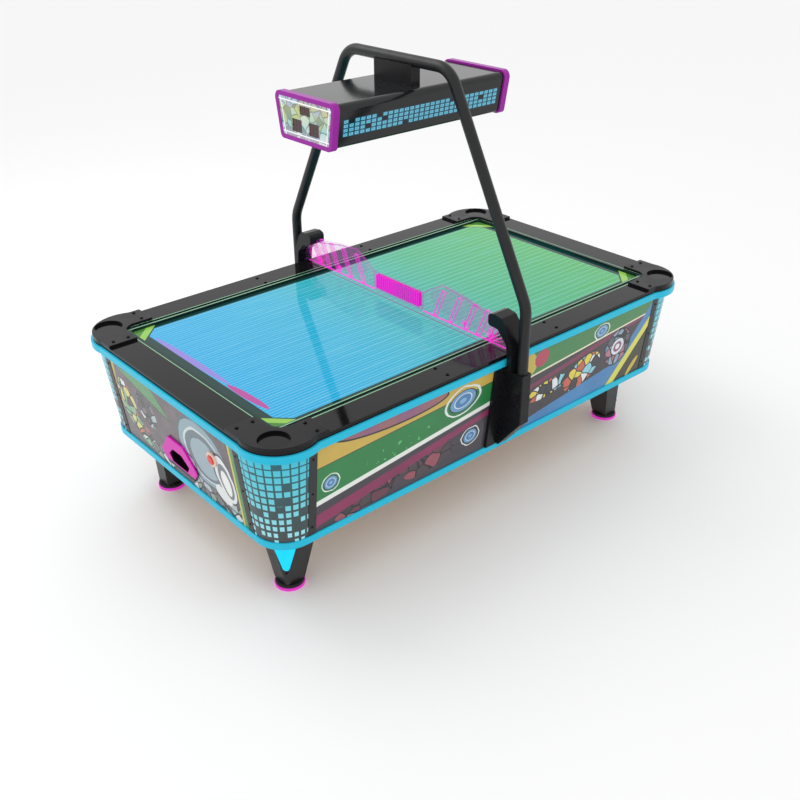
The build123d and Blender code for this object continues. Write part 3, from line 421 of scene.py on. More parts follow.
def cushionFinish():
    # extruded aluminium, anodised black; its two ridges and its ends carry pale painted highlight lines on
    # the top face
    finish, tree, shader = newFinish("Anodised aluminium cushion", Metallic=0.3, Roughness=0.26,
                                     Specular_IOR_Level=0.25)
    size = cushionPrint
    axes = addNode(tree, "SeparateXYZ", {0: placeIn(tree)})
    farX = addNode(tree, "Math", {"operation": "ABSOLUTE"}, axes.outputs[0]).outputs[0]
    farY = addNode(tree, "Math", {"operation": "ABSOLUTE"}, axes.outputs[1]).outputs[0]
    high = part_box("side_cushions")[1]
    edgeY = high[1] / mm
    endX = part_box("end_cushions")[1][0] / mm
    ridgeHighlights = addNode(tree, "Math", {"operation": "COMPARE"}, farY, edgeY - size["ridge"],
                     size["ridge"]).outputs[0]
    inner = addNode(tree, "Math", {"operation": "COMPARE"}, farY, edgeY - size["innerIn"],
                    size["inner"]).outputs[0]
    endHighlights = addNode(tree, "Math", {"operation": "COMPARE"}, farX, endX - size["end"], size["end"]).outputs[0]
    sideHighlights = addNode(tree, "Math", {"operation": "MAXIMUM"}, ridgeHighlights, inner).outputs[0]
    lines = addNode(tree, "Math", {"operation": "MAXIMUM"}, sideHighlights, endHighlights).outputs[0]
    top = addNode(tree, "Math", {"operation": "GREATER_THAN"}, axes.outputs[2],
                  high[2] / mm - size["topSkin"]).outputs[0]
    # painted highlight: pale lines on the top face along the ridges and the ends
    paint = overprint(tree, *size["inks"], bothMasks(tree, lines, top))
    tree.links.new(paint, shader.inputs["Base Color"])
    fineBumps(tree, shader, 2.0, 0.01)
    wear(finish, "side_cushions", "end_cushions")


print("playing surface")
fieldFinish()
cushionFinish()


cornerPrint = {
    "columns": 8,
    "arcCentre": (1070.0, 540.0),
    "groundInks": ((0.0, "#3b4142"), (0.45, "#2f4a4e"), (1.0, "#0f5f6c")),
    "squareInks": ((0.0, "#9fdfe8"), (0.5, "#5fc6d4"), (1.0, "#2fbcd2")),
    "rowPitch": 34.0,
    "square": (0.84, 0.60),        # share of its cell that a square fills, at the top and at the bottom
    "missing": (0.02, 0.42),       # share of squares left out, at the top and at the bottom
}


def squareMask(tree, column, row, share):
    # 1 inside a square centred in each cell
    reaches = []
    for cells in (column, row):
        part = addNode(tree, "Math", {"operation": "FRACT"}, cells).outputs[0]
        offset = addNode(tree, "Math", {"operation": "SUBTRACT"}, part, 0.5).outputs[0]
        reaches.append(addNode(tree, "Math", {"operation": "ABSOLUTE"}, offset).outputs[0])
    reach = addNode(tree, "Math", {"operation": "MAXIMUM"}, *reaches).outputs[0]
    return addNode(tree, "Math", {"operation": "LESS_THAN"}, reach, share).outputs[0]


def cellDraw(tree, column, row, seed):
    # one random number for each cell
    whole = [addNode(tree, "Math", {"operation": "FLOOR"}, cells).outputs[0] for cells in (column, row)]
    cell = addNode(tree, "CombineXYZ", {2: float(seed)}, *whole).outputs[0]
    return addNode(tree, "TexWhiteNoise", {"noise_dimensions": "3D", "Vector": cell}).outputs["Value"]


def cornerFinish():
    # printed laminate round each corner: cyan squares that thin out towards the floor
    finish, tree, shader = newFinish("Corner print laminate", Roughness=0.24)
    low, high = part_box("corner_panels")
    axes = addNode(tree, "SeparateXYZ", {0: placeIn(tree)})
    outwards = []
    for axis, centre in enumerate(cornerPrint["arcCentre"]):
        far = addNode(tree, "Math", {"operation": "ABSOLUTE"}, axes.outputs[axis]).outputs[0]
        outwards.append(addNode(tree, "Math", {"operation": "SUBTRACT"}, far, centre).outputs[0])
    turn = addNode(tree, "Math", {"operation": "ARCTAN2"}, outwards[1], outwards[0]).outputs[0]
    column = addNode(tree, "Math", {"operation": "MULTIPLY"}, turn,
                     cornerPrint["columns"] / (math.pi / 2)).outputs[0]
    row = addNode(tree, "Math", {"operation": "DIVIDE"}, axes.outputs[2], cornerPrint["rowPitch"]).outputs[0]
    height = addNode(tree, "MapRange", {1: low[2] / mm, 2: high[2] / mm, 0: axes.outputs[2]}).outputs[0]
    topShare, lowShare = cornerPrint["square"]
    share = addNode(tree, "MapRange", {3: lowShare / 2, 4: topShare / 2, 0: height}).outputs[0]
    topMiss, lowMiss = cornerPrint["missing"]
    miss = addNode(tree, "MapRange", {3: lowMiss, 4: topMiss, 0: height}).outputs[0]
    kept = addNode(tree, "Math", {"operation": "GREATER_THAN"}, cellDraw(tree, column, row, 3),
                   miss).outputs[0]
    mask = bothMasks(tree, squareMask(tree, column, row, share), kept)
    ground = addNode(tree, "ValToRGB", {"inks": cornerPrint["groundInks"]}, height).outputs[0]
    squares = addNode(tree, "ValToRGB", {"inks": cornerPrint["squareInks"]}, height).outputs[0]
    litPrint(tree, shader, overprint(tree, ground, squares, mask), 0.06)
    fineBumps(tree, shader, 6.0, 0.012)
    wear(finish, "corner_panels")


sidePrint = {
    "ground": ("#37363b", "#4a4350"),          # each pair is an ink and the one that clouds it
    "green": ("#2f8a4a", "#23703c"),
    "yellow": ("#d8bd55", "#b9964a"),
    "pink": ("#9a2f62", "#6e2a4c"),
    "white": "#e6ebe4",
    "fleck": "#57c46a",
    "keyline": "#3a3a30",
    # slanting edges, from left to right
    "pinkEdges": (((-1026, 439), (-96, 561)), ((-1030, 377), (-96, 532))),
    "whiteEdges": (((-1024, 507), (-96, 602)), ((-1027, 483), (-96, 580))),
    "greenEdge": ((-1020, 662), (-351, 689)),
    "keylineEdge": ((-1020, 666), (-351, 693)),
    # ovals: centre, half widths and turn
    "flecks": ((-620, 590), (210, 34), 5.0),
    "capsule": (((-650, 756), (300, 52), -2.6), ((-650, 760), (290, 48), -2.6)),
    "capsuleInks": ("#2e2c30", ((0.35, "#8a5a86"), (0.65, "#a3705c"))),
    "shardAreas": (((-420, 432), (150, 44), 9.0), ((-760, 392), (170, 34), 8.0),
                   ((-560, 470), (300, 30), 9.0)),
    "shardInks": ((0.0, "#6a3a4c"), (0.3, "#3a3840"), (0.5, "#96505e"), (0.7, "#4a4048"), (0.88, "#b87a80")),
    "pucks": (((-955, 572), (34, 32), 0.0), ((-262, 672), (80, 52), 6.0), ((-192, 462), (42, 36), 0.0)),
}

# the same print, past the post
sidePrintRight = {
    "ground": ("#332f34", "#4b454a"),
    "green": ("#4d7a4c", "#3c8a4e"),
    "blue": ("#3a74a8", "#4f93cc"),
    "pink": "#7c3555",
    "line": "#e8e2c8",
    "pinkEdges": (((161, 581), (607, 646)), ((161, 557), (607, 620))),
    "lineEdges": (((151, 634), (641, 669)), ((151, 624), (641, 660))),
    "blueEdge": ((150, 392), (640, 455)),
    # stripes that cross the corner, one over the other: ink and upper edge
    "stripes": (("#4c84b4", (700, 340), (985, 700)), ("#d9d65a", (712, 300), (1025, 668)),
                ("#3d3a28", (776, 300), (1040, 628))),
    "leaf": ("#c9b452", (150, 700), (40, 60), 20.0),
    "berry": ("#b54a5c", (222, 708), (46, 44), 0.0),
    "wedge": ("#cbb23e", (955, 400), (16, 60), -38.0),
    "barAreas": (((300, 520), (150, 44), 6.0), ((540, 520), (130, 74), 22.0)),
    "barInks": ((0.0, "#e3d04e"), (0.22, "#e6e9ea"), (0.42, "#c8654e"), (0.58, "#8fd0e0"), (0.8, "#3a3c44")),
    "target": (795, 568),
    "targetInks": ((0.0, "#8fa6b8"), (0.2, "#d9dee2"), (0.4, "#5c5a68"), (0.6, "#b0788c"), (0.8, "#6f9ebc")),
    # rings of the target; None is the one filled with patches
    "targetRings": (((100, 104), "#2c3038"), ((92, 96), None), ((52, 50), "#2f3440"), ((46, 44), "#d9dfe4"),
                    ((30, 28), "#8a5a78"), ((16, 15), "#e3e6ea")),
    "puck": ((642, 704), (44, 32), 4.0),
}


def puckDisc(tree, paint, place, centre, half, turn=0.0):
    # a blue puck with two pale rings and a loose white swirl round it
    loose = shaky(tree, place, half[0] * 0.9, half[0] * 0.16)
    rings = (
        (loose, 1.32, "#dfe9e6"), (loose, 1.18, None), (place, 1.0, "#26323f"), (place, 0.92, "#6c9cc4"),
        (place, 0.66, "#cfe0ee"), (place, 0.58, "#4f82b4"), (place, 0.24, "#7fb0d6"),
    )
    below = paint
    for where, scale, ink in rings:
        mask = insideOval(tree, where, centre, (half[0] * scale, half[1] * scale), turn)
        paint = overprint(tree, paint, ink or below, mask)
    return paint


def bandMask(tree, edges, upperPlace, lowerPlace):
    # 1 between an upper and a lower edge
    return lessMask(tree, underLine(tree, upperPlace, *edges[0]), underLine(tree, lowerPlace, *edges[1]))


def leftOfPost(tree, place, wobble, clouds):
    ink = sidePrint
    paint = overprint(tree, *ink["ground"], clouds)
    shards = comicShards(tree, place, 64.0, ink["shardInks"], 3.0, 16.0)
    for area in ink["shardAreas"]:
        paint = overprint(tree, paint, shards, insideOval(tree, wobble, *area))
    pink = overprint(tree, *ink["pink"], clouds)
    paint = overprint(tree, paint, pink, bandMask(tree, ink["pinkEdges"], place, wobble))
    underWhite = underLine(tree, place, *ink["whiteEdges"][0])
    underGreen = underLine(tree, place, *ink["greenEdge"])
    paint = overprint(tree, paint, overprint(tree, *ink["green"], clouds),
                      lessMask(tree, underGreen, underWhite))
    speckle = addNode(tree, "TexNoise", {"Scale": 1 / 26.0, "Detail": 2.0, "Vector": place}).outputs[0]
    specks = addNode(tree, "Math", {"operation": "GREATER_THAN"}, speckle, 0.66).outputs[0]
    paint = overprint(tree, paint, ink["fleck"],
                      bothMasks(tree, specks, insideOval(tree, place, *ink["flecks"])))
    aboveGreen = addNode(tree, "Math", {"operation": "SUBTRACT"}, 1.0, underGreen).outputs[0]
    paint = overprint(tree, paint, overprint(tree, *ink["yellow"], clouds), aboveGreen)
    keyline = lessMask(tree, underLine(tree, place, *ink["keylineEdge"]), underGreen)
    paint = overprint(tree, paint, ink["keyline"], keyline)
    rim, inside = ink["capsule"]
    rimInk, insideInks = ink["capsuleInks"]
    paint = overprint(tree, paint, rimInk, insideOval(tree, place, *rim))
    blend = addNode(tree, "ValToRGB", {"inks": insideInks}, clouds).outputs[0]
    paint = overprint(tree, paint, blend, insideOval(tree, place, *inside))
    paint = overprint(tree, paint, ink["white"], bandMask(tree, ink["whiteEdges"], place, place))
    for puck in ink["pucks"]:
        paint = puckDisc(tree, paint, place, *puck)
    return paint


def rightOfPost(tree, place, wobble, clouds):
    ink = sidePrintRight
    paint = overprint(tree, *ink["ground"], clouds)
    paint = overprint(tree, paint, ink["pink"], bandMask(tree, ink["pinkEdges"], place, place))
    underTop = underLine(tree, place, *ink["lineEdges"][0])
    above = addNode(tree, "Math", {"operation": "SUBTRACT"}, 1.0, underTop).outputs[0]
    paint = overprint(tree, paint, overprint(tree, *ink["green"], clouds), above)
    paint = overprint(tree, paint, ink["line"], bandMask(tree, ink["lineEdges"], place, place))
    leafInk, *leaf = ink["leaf"]
    paint = overprint(tree, paint, leafInk, insideOval(tree, wobble, *leaf))
    berryInk, *berry = ink["berry"]
    paint = overprint(tree, paint, berryInk, insideOval(tree, shaky(tree, place, 30.0, 6.0), *berry))
    bars = comicShards(tree, place, 46.0, ink["barInks"], 3.0, 12.0)
    for area in ink["barAreas"]:
        paint = overprint(tree, paint, bars, insideOval(tree, wobble, *area))
    blue = overprint(tree, *ink["blue"], clouds)
    paint = overprint(tree, paint, blue, underLine(tree, wobble, *ink["blueEdge"]))
    for stripeInk, start, end in ink["stripes"]:
        paint = overprint(tree, paint, stripeInk, underLine(tree, place, start, end))
    wedgeInk, *wedge = ink["wedge"]
    paint = overprint(tree, paint, wedgeInk, insideOval(tree, wobble, *wedge))
    patches = comicShards(tree, place, 50.0, ink["targetInks"], 3.5, 16.0)
    for half, ringInk in ink["targetRings"]:
        paint = overprint(tree, paint, ringInk or patches, insideOval(tree, wobble, ink["target"], half))
    return puckDisc(tree, paint, place, *ink["puck"])


def sideFinish():
    # glossy printed laminate: bands, pucks and patches of ink, with a slight unevenness in the lacquer
    finish, tree, shader = newFinish("Side print laminate", Roughness=0.26)
    place = flatPlace(tree, placeIn(tree), 0, 2)
    wobble = shaky(tree, place, 60.0, 3.0)
    clouds = addNode(tree, "TexNoise", {"Scale": 1 / 240.0, "Detail": 3.0, "Vector": place}).outputs[0]
    left = leftOfPost(tree, place, wobble, clouds)
    right = rightOfPost(tree, place, wobble, clouds)
    along = addNode(tree, "SeparateXYZ", {0: place}).outputs[0]
    pastPost = addNode(tree, "Math", {"operation": "GREATER_THAN"}, along, 0.0).outputs[0]
    tree.links.new(overprint(tree, left, right, pastPost), shader.inputs["Base Color"])
    fineBumps(tree, shader, 7.0, 0.015)
    wear(finish, "left_panel", "right_panel", "service_door")


endPrint = {
    "cell": 46.0,                  # size of one patch
    # centre, half widths and turn of each busy area, and its inks
    "patches": (((-400, 560), (70, 120), 14.0, "bright"), ((-310, 440), (90, 50), -20.0, "bright"),
                ((-150, 400), (120, 40), 0.0, "soft"), ((250, 400), (230, 60), 0.0, "soft"),
                ((-230, 600), (70, 90), 30.0, "soft")),
    "bright": ((0.0, "#dfe3e0"), (0.26, "#6a6468"), (0.4, "#d6cb72"), (0.56, "#3f3c42"), (0.72, "#7db08c"),
               (0.86, "#c86a52")),
    "soft": ((0.0, "#6d6a70"), (0.25, "#a9b7bd"), (0.45, "#4a474c"), (0.65, "#8a9a86"), (0.85, "#d5d8d8")),
    # arcs and swirls, the widest first
    "swirls": (((220, 590), (190, 165), 0.0, "#4b5a62"), ((222, 588), (178, 153), 0.0, "#86a0ac"),
               ((228, 580), (150, 126), 0.0, "#c9d4d6"), ((230, 578), (140, 117), 0.0, "#5f727c"),
               ((236, 570), (108, 92), 0.0, "#93a8b2"), ((370, 540), (74, 118), 16.0, "#3c3d46"),
               ((370, 538), (64, 106), 16.0, "#dfe5e6"), ((374, 530), (46, 80), 16.0, "#6f7680"),
               ((376, 522), (30, 58), 16.0, "#e9ece8"), ((330, 440), (60, 34), -14.0, "#dfe3e2"),
               ((90, 470), (48, 60), 0.0, "#5a5560"), ((92, 470), (36, 48), 0.0, "#b9c6cc")),
    # flat wedges, their corners clockwise
    "wedges": (("#39443a", ((-450, 732), (-146, 770), (-10, 626))),
               ("#4d8f57", ((-436, 733), (-152, 760), (-24, 638))),
               ("#b9a55a", ((-486, 762), (-452, 762), (-486, 560)))),
}


def endFinish():
    # the same laminate with the end print: arcs, a green wedge and busy abstract patches
    finish, tree, shader = newFinish("End print laminate", Roughness=0.26)
    where = placeIn(tree)
    axes = addNode(tree, "SeparateXYZ", {0: where})
    # the print reads the same way round at both ends
    facing = addNode(tree, "Math", {"operation": "SIGN"}, axes.outputs[0]).outputs[0]
    across = addNode(tree, "Math", {"operation": "MULTIPLY"}, axes.outputs[1], facing).outputs[0]
    place = addNode(tree, "CombineXYZ", {0: across, 1: axes.outputs[2]}).outputs[0]
    wobble = shaky(tree, place, 70.0, 8.0)
    clouds = addNode(tree, "TexNoise", {"Scale": 1 / 90.0, "Detail": 5.0, "Vector": place})
    paint = overprint(tree, "#2e2a2c", "#7a6a72", clouds.outputs[0])
    for centre, half, turn, patches in endPrint["patches"]:
        shards = comicShards(tree, place, endPrint["cell"], endPrint[patches], 3.0, 16.0)
        paint = overprint(tree, paint, shards, insideOval(tree, wobble, centre, half, turn))
    for centre, half, turn, ink in endPrint["swirls"]:
        paint = overprint(tree, paint, ink, insideOval(tree, wobble, centre, half, turn))
    for ink, corners in endPrint["wedges"]:
        start, middle, end = corners
        wedge = bothMasks(tree, underLine(tree, place, end, start), underLine(tree, place, start, middle))
        wedge = bothMasks(tree, wedge, underLine(tree, place, middle, end))
        paint = overprint(tree, paint, ink, wedge)
    for ink, start, end in (("#d0c65a", 446, 458), ("#4f8a4c", 458, 500)):
        inside = addNode(tree, "Math", {"operation": "GREATER_THAN"}, across, float(start)).outputs[0]
        outside = addNode(tree, "Math", {"operation": "GREATER_THAN"}, across, float(end)).outputs[0]
        paint = overprint(tree, paint, ink, lessMask(tree, inside, outside))
    tree.links.new(paint, shader.inputs["Base Color"])
    fineBumps(tree, shader, 7.0, 0.015)
    wear(finish, "front_panel", "rear_panel")


print("printed panels")
cornerFinish()
sideFinish()
endFinish()


barPrint = {
    "columns": 30,
    "rows": 4,
    "length": (-430.0, 430.0),
    "height": (1690.0, 1760.0),
    "faceFrom": 150.0,             # what lies farther out than this is a long face
    "square": 0.66,                # shares of a cell
    "rim": 0.1,
    "missing": 0.09,
}


def barFinish():
    # black gloss sheet with a window of small lit squares along each long side
    finish, tree, shader = newFinish("Gloss black bar with lit squares", Roughness=0.12,
                                     Specular_IOR_Level=0.35)
    axes = addNode(tree, "SeparateXYZ", {0: placeIn(tree)})
    cells, spans = [], []
    for axis, (start, end), count in ((0, barPrint["length"], barPrint["columns"]),
                                      (2, barPrint["height"], barPrint["rows"])):
        scaled = addNode(tree, "MapRange", {"clamp": False, 1: start, 2: end, 4: float(count)},
                         axes.outputs[axis])
        cells.append(scaled.outputs[0])
        spans.append(addNode(tree, "Math", {"operation": "COMPARE"}, cells[-1], count / 2,
                             count / 2).outputs[0])
    column, row = cells
    farY = addNode(tree, "Math", {"operation": "ABSOLUTE"}, axes.outputs[1]).outputs[0]
    outer = addNode(tree, "Math", {"operation": "GREATER_THAN"}, farY, barPrint["faceFrom"]).outputs[0]
    window = bothMasks(tree, bothMasks(tree, *spans), outer)
    drawn = cellDraw(tree, column, row, 7)
    kept = addNode(tree, "Math", {"operation": "GREATER_THAN"}, drawn, barPrint["missing"]).outputs[0]
    square = squareMask(tree, column, row, barPrint["square"] / 2)
    core = squareMask(tree, column, row, barPrint["square"] / 2 - barPrint["rim"])
    inks = overprint(tree, "#0b5068", "#86c8dc", square)
    inks = overprint(tree, inks, "#3aa6c4", core)
    inks = overprint(tree, "#0c1418", inks, kept)
    paint = overprint(tree, "#1b1c1e", inks, window)
    tree.links.new(paint, shader.inputs["Base Color"])
    tree.links.new(overprint(tree, "#000000", inks, window), shader.inputs["Emission Color"])
    shader.inputs["Emission Strength"].default_value = 0.15
    fineBumps(tree, shader, 8.0, 0.015)
    wear(finish, "score_bar")


platePrint = {
    "patchInks": ((0.0, "#cfd8d4"), (0.2, "#8fa4c8"), (0.4, "#b9b66a"), (0.6, "#4c5a5e"), (0.8, "#a8c8c4")),
    "washInks": ((0.0, "#e9d5e6"), (0.3, "#7fb9b4"), (0.7, "#c3c98a"), (1.0, "#a6a4d8")),
    "patchShow": 0.55,             # how far the patches cover the wash
    "slant": 30.0,                 # how much narrower the plate is at its foot
    "outlineIn": (12.0, 14.0),     # from the sides, and from the top and foot
    "outlineHalf": 2.5,
    "outlineInk": "#f2f4f6",
}


def endPlateFinish():
    # printed plate: pale outline over patches of soft colour
    finish, tree, shader = newFinish("Score plate print", Roughness=0.25)
    place = flatPlace(tree, placeIn(tree), 1, 2)
    patches = comicShards(tree, place, 40.0, platePrint["patchInks"], 2.0, 14.0)
    low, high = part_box("bar_end_plates")
    axes = addNode(tree, "SeparateXYZ", {0: place})
    height = addNode(tree, "MapRange", {1: low[2] / mm, 2: high[2] / mm, 0: axes.outputs[1]}).outputs[0]
    wash = addNode(tree, "ValToRGB", {"inks": platePrint["washInks"]}, height).outputs[0]
    paint = overprint(tree, wash, patches, platePrint["patchShow"])
    depth = addNode(tree, "Math", {"operation": "SUBTRACT"}, 1.0, height).outputs[0]
    slant = addNode(tree, "Math", {"operation": "MULTIPLY"}, depth, platePrint["slant"]).outputs[0]
    farY = addNode(tree, "Math", {"operation": "ABSOLUTE"}, axes.outputs[0]).outputs[0]
    sideways = addNode(tree, "Math", {"operation": "ADD"}, farY, slant).outputs[0]
    fromSide, fromEnd = platePrint["outlineIn"]
    for along, level in ((sideways, high[1] / mm - fromSide), (axes.outputs[1], low[2] / mm + fromEnd),
                         (axes.outputs[1], high[2] / mm - fromEnd)):
        line = addNode(tree, "Math", {"operation": "COMPARE"}, along, level,
                       platePrint["outlineHalf"]).outputs[0]
        paint = overprint(tree, paint, platePrint["outlineInk"], line)
    litPrint(tree, shader, paint, 0.12)
    fineBumps(tree, shader, 5.0, 0.01)
    wear(finish, "bar_end_plates")
    # smoked acrylic over the score digits
    smoked, tree, shader = newFinish("Smoked acrylic", Base_Color="#1a1214", Roughness=0.12, Coat_Weight=0.4)
    fineBumps(tree, shader, 12.0, 0.01)
    wear(smoked, "score_digits")


scoreSegments = {
    "wide": 15.0,                  # one seven-segment digit
    "tall": 28.0,
    "stroke": 3.2,
    "proud": 0.8,
}


def segmentBars():
    # the six outer strokes of a nought and the bar between, as centre and half size
    half = scoreSegments["wide"] / 2
    rise = scoreSegments["tall"] / 4
    stroke = scoreSegments["stroke"] / 2
    bars = [(0.0, level * 2 * rise, half - stroke, stroke) for level in (-1, 0, 1)]
    for side in (-1, 1):
        for level in (-1, 1):
            bars.append((side * half, level * rise, stroke, rise - stroke))
    return bars


def onlySelect(piece):
    bpy.ops.object.select_all(action="DESELECT")
    piece.select_set(True)
    bpy.context.view_layer.objects.active = piece


def slab(centre, half, edge):
    # one small bar with bevelled edges, its place in its mesh
    bpy.ops.object.select_all(action="DESELECT")
    bpy.ops.mesh.primitive_cube_add(size=2.0, location=centre, scale=half)
    bar = bpy.context.object
    bpy.ops.object.transform_apply(location=True, rotation=True, scale=True)
    bpy.ops.object.mode_set(mode="EDIT")
    bpy.ops.mesh.select_all(action="SELECT")
    bpy.ops.mesh.bevel(offset=edge, segments=2, affect="EDGES")
    bpy.ops.object.mode_set(mode="OBJECT")
    return bar


def joined(name, bars):
    bpy.ops.object.select_all(action="DESELECT")
    for bar in bars:
        bar.select_set(True)
    bpy.context.view_layer.objects.active = bars[0]
    bpy.ops.object.join()
    piece = bpy.context.object
    bpy.ops.object.transform_apply(location=True, rotation=True, scale=True)
    piece.name = name
    piece.data.name = name
    return piece


def digitPieces():
    # unlit digits behind each smoked window, two by two
    finish, tree, shader = newFinish("Unlit red segment", Base_Color="#5a1a20", Roughness=0.3,
                                     Emission_Color="#8a1a20", Emission_Strength=0.12)
    fineBumps(tree, shader, 4.0, 0.01)
    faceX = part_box("score_digits")[1][0]
    windows = (((-56.0, 1706.0), 1.25), ((56.0, 1706.0), 1.25), ((0.0, 1772.0), 0.8))
    bars = []
    for side in (-1, 1):
        for (midY, midZ), size in windows:
            for step in (-1, 1):
                for y, z, wide, tall in segmentBars():
                    centre = (side * faceX, (midY + step * 15 * size + y * size) * mm, (midZ + z * size) * mm)
                    half = (scoreSegments["proud"] * mm, wide * size * mm, tall * size * mm)
                    bars.append(slab(centre, half, 0.4 * mm))
    piece = joined("scoreSegments", bars)
    piece.data.materials.append(finish)
    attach(piece, "table")


print("score bar")
barFinish()
endPlateFinish()
digitPieces()


def dividerFinishes():
    # cast acrylic, clear; its wings carry a thin magenta film behind the drawing
    clear, tree, shader = newFinish("Clear cast acrylic", Base_Color="#c868c4", Roughness=0.04, IOR=1.49)
    flat = flatPlace(tree, placeIn(tree), 1, 2)
    mirrored = addNode(tree, "VectorMath", {"operation": "ABSOLUTE"}, flat).outputs[0]
    filmed = insideOval(tree, mirrored, (450, 915), (230, 72), 0.0)
    film = addNode(tree, "MapRange", {0: filmed, 3: 0.08, 4: 0.18})
    tree.links.new(film.outputs[0], shader.inputs["Alpha"])
    wear(clear, "divider_sheet")
    # magenta acrylic sign, edge-lit, with darker wavy ribs cut in it
    sign, tree, shader = newFinish("Edge-lit magenta acrylic", Roughness=0.2)
    place = flatPlace(tree, placeIn(tree), 1, 2)
    wave = addNode(tree, "TexWave", {"bands_direction": "X", "Scale": 0.021, "Distortion": 2.2, "Detail": 1.0,
                                     "Detail Scale": 0.03, "Vector": place})
    ribs = addNode(tree, "Math", {"operation": "GREATER_THAN"}, wave.outputs["Fac"], 0.86).outputs[0]
    litPrint(tree, shader, overprint(tree, "#f000c8", "#8a1a86", ribs), 0.35)
    bump = addNode(tree, "Bump", {"Distance": 0.6 * mm, "Strength": 0.6, "invert": True, "Height": ribs})
    tree.links.new(bump.outputs[0], shader.inputs["Normal"])
    wear(sign, "divider_sign")


etching = {
    "line": 3.0,                   # width of a drawn line
    "thinLine": 1.6,
    # half of the drawing, from the middle outwards: across the table, height
    "outline": ((171, 905), (215, 940), (303, 986), (440, 970), (600, 938), (690, 930)),
    "ribFeet": (243, 345, 440, 517, 596),
    "ribHeight": (830, 962),
    "ribLean": 56,                 # how far a rib leans towards the rail
    "ribWide": 22,
    "foot": ((171, 822), (696, 822)),
    "arcs": (((640, 880), (52, 44)), ((640, 880), (36, 30))),
    "burst": (600, 846),           # bright star near the hood
    "burstReach": 42,
    "smallBurst": (442, 850),
    "smallReach": 24,
    "signEdge": ((-165, 829), (165, 829), (172, 838), (172, 906), (165, 914), (-165, 914), (-172, 906),
                 (-172, 838)),
}


def ribLoops():
    # slanted bars in outline, each closed
    low, high = etching["ribHeight"]
    lean = etching["ribLean"]
    wide = etching["ribWide"]
    return [((y, low), (y + lean, high), (y + lean + wide, high - 4), (y + wide, low), (y, low))
            for y in etching["ribFeet"]]


def ovalLoop(centre, half):
    turns = [math.tau * k / 28 for k in range(29)]
    return tuple((centre[0] + half[0] * math.cos(a), centre[1] + half[1] * math.sin(a)) for a in turns)


def etchedPath(name, points, wide, faceX):
    # a line of ink on one face of the sheet, as a curve turned into a mesh
    curve = bpy.data.curves.new(name, "CURVE")
    curve.dimensions = "3D"
    spline = curve.splines.new("POLY")
    spline.points.add(len(points) - 1)
    for dot, (y, z) in zip(spline.points, points):
        dot.co = (faceX, y * mm, z * mm, 1)
    curve.bevel_depth = wide / 2 * mm
    curve.bevel_resolution = 1
    curve.use_fill_caps = True
    line = bpy.data.objects.new(name, curve)
    bpy.context.scene.collection.objects.link(line)
    onlySelect(line)
    bpy.ops.object.convert(target="MESH")
    return bpy.context.object


def starLines(centre, reach, rays):
    # spokes from a centre, long and short by turns
    lines = []
    for k in range(rays):
        angle = math.tau * (k + 0.3) / rays
        far = reach if k % 2 else reach * 0.6
        lines.append((centre, (centre[0] + far * math.cos(angle), centre[1] + far * 0.8 * math.sin(angle))))
    return lines


def dividerEtching():
    # fluorescent magenta ink: it glows where the edge light meets it
    bright, tree, shader = newFinish("Fluorescent magenta ink", Base_Color="#f020d0", Roughness=0.35,
                                     Emission_Color="#f81cd2", Emission_Strength=0.45)
    fineBumps(tree, shader, 2.0, 0.02)
    faint, tree, shader = newFinish("Violet ink", Base_Color="#c020b8", Roughness=0.35,
                                    Emission_Color="#d41cc8",
                                    Emission_Strength=0.3)
    fineBumps(tree, shader, 2.0, 0.02)
    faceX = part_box("divider_sheet")[1][0] - 0.4 * mm
    bursts = starLines(etching["burst"], etching["burstReach"], 12)
    bursts += starLines(etching["smallBurst"], etching["smallReach"], 10)
    edge = etching["signEdge"]
    groups = (
        ("etchedOutline", faint, etching["thinLine"], (etching["outline"], edge + edge[:1])),
        ("etchedRibs", bright, etching["line"], ribLoops()),
        ("etchedArcs", bright, etching["thinLine"], [ovalLoop(*arc) for arc in etching["arcs"]]),
        ("etchedFoot", bright, etching["line"], (etching["foot"],)),
        ("etchedBursts", bright, etching["thinLine"], bursts),
    )
    for name, finish, wide, paths in groups:
        lines = []
        for face in (-1, 1):
            for end in (-1, 1):
                for points in paths:
                    mirrored = [(end * y, z) for y, z in points]
                    lines.append(etchedPath(name, mirrored, wide, face * faceX))
        piece = joined(name, lines)
        piece.data.materials.clear()
        piece.data.materials.append(finish)
        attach(piece, "table")


print("divider")
dividerFinishes()
dividerEtching()


view = {
    "place": (-2.7933, -3.2106, 2.6918),
    "yaw": 48.924,                 # from +X towards +Y
    "pitch": 29.567,               # downwards
    "roll": -0.437,
    "lens": 44.18,
}


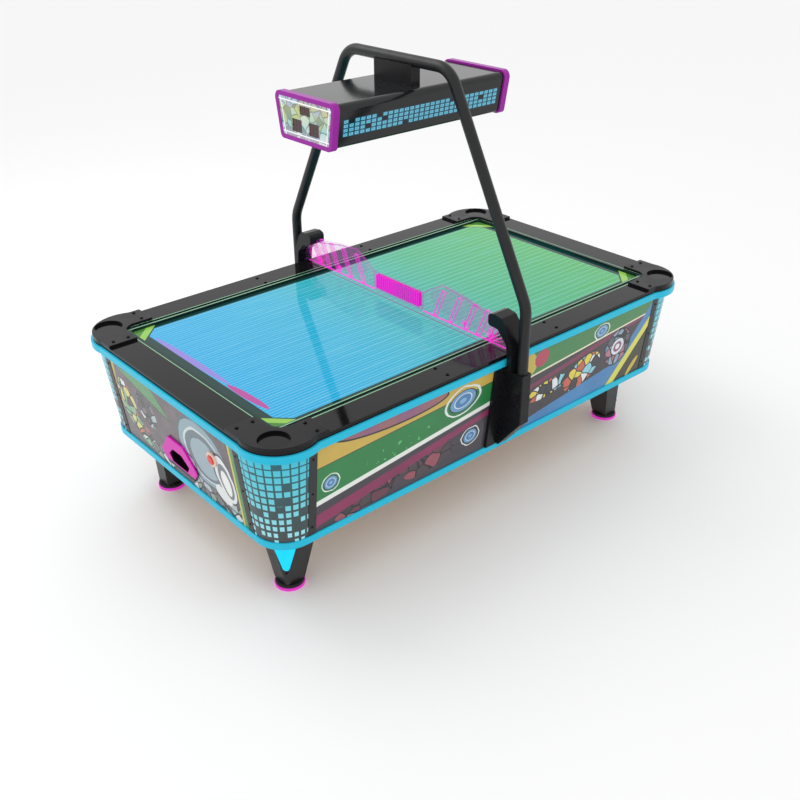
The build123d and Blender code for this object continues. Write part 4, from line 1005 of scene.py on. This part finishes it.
def makeCamera():
    yaw, pitch, roll = (math.radians(view[key]) for key in ("yaw", "pitch", "roll"))
    ahead = Vector((math.cos(pitch) * math.cos(yaw), math.cos(pitch) * math.sin(yaw), -math.sin(pitch)))
    right = Vector((math.sin(yaw), -math.cos(yaw), 0))
    up = right.cross(ahead)
    turnedRight = math.cos(roll) * right + math.sin(roll) * up
    turnedUp = math.cos(roll) * up - math.sin(roll) * right
    lens = bpy.data.cameras.new("tableCamera")
    lens.lens = view["lens"]
    lens.sensor_width = 36.0
    lens.clip_end = 100.0
    camera = bpy.data.objects.new("tableCamera", lens)
    bpy.context.scene.collection.objects.link(camera)
    axes = Matrix((turnedRight, turnedUp, -ahead)).transposed().to_4x4()
    camera.matrix_world = Matrix.Translation(view["place"]) @ axes
    bpy.context.scene.camera = camera


studio = {
    "floor": "#f7f7f7",
    "sky": 1.0,
    "lamp": 60.0,                  # watts
    "lampPlace": (-1.5, 2.5, 4.5),
    "lampSize": 3.0,
}


def makeStudio():
    bpy.ops.object.select_all(action="DESELECT")
    bpy.ops.mesh.primitive_plane_add(size=60.0, location=(0, 0, 0))
    floor = bpy.context.object
    floor.name = "studioFloor"
    paper, tree, shader = newFinish("Matt white floor", Base_Color=studio["floor"], Roughness=0.9)
    shader.inputs["Specular IOR Level"].default_value = 0.1
    floor.data.materials.append(paper)
    world = bpy.data.worlds.new("studioSky")
    world.use_nodes = True
    world.node_tree.nodes["Background"].inputs["Color"].default_value = (1, 1, 1, 1)
    world.node_tree.nodes["Background"].inputs["Strength"].default_value = studio["sky"]
    bpy.context.scene.world = world
    lamp = bpy.data.lights.new("softLamp", "AREA")
    lamp.energy = studio["lamp"]
    lamp.size = studio["lampSize"]
    softLamp = bpy.data.objects.new("softLamp", lamp)
    bpy.context.scene.collection.objects.link(softLamp)
    softLamp.location = studio["lampPlace"]
    softLamp.rotation_euler = (-Vector(studio["lampPlace"])).to_track_quat("-Z", "Y").to_euler()
    bpy.context.scene.view_settings.view_transform = "Standard"


print("camera and studio")
makeCamera()
makeStudio()
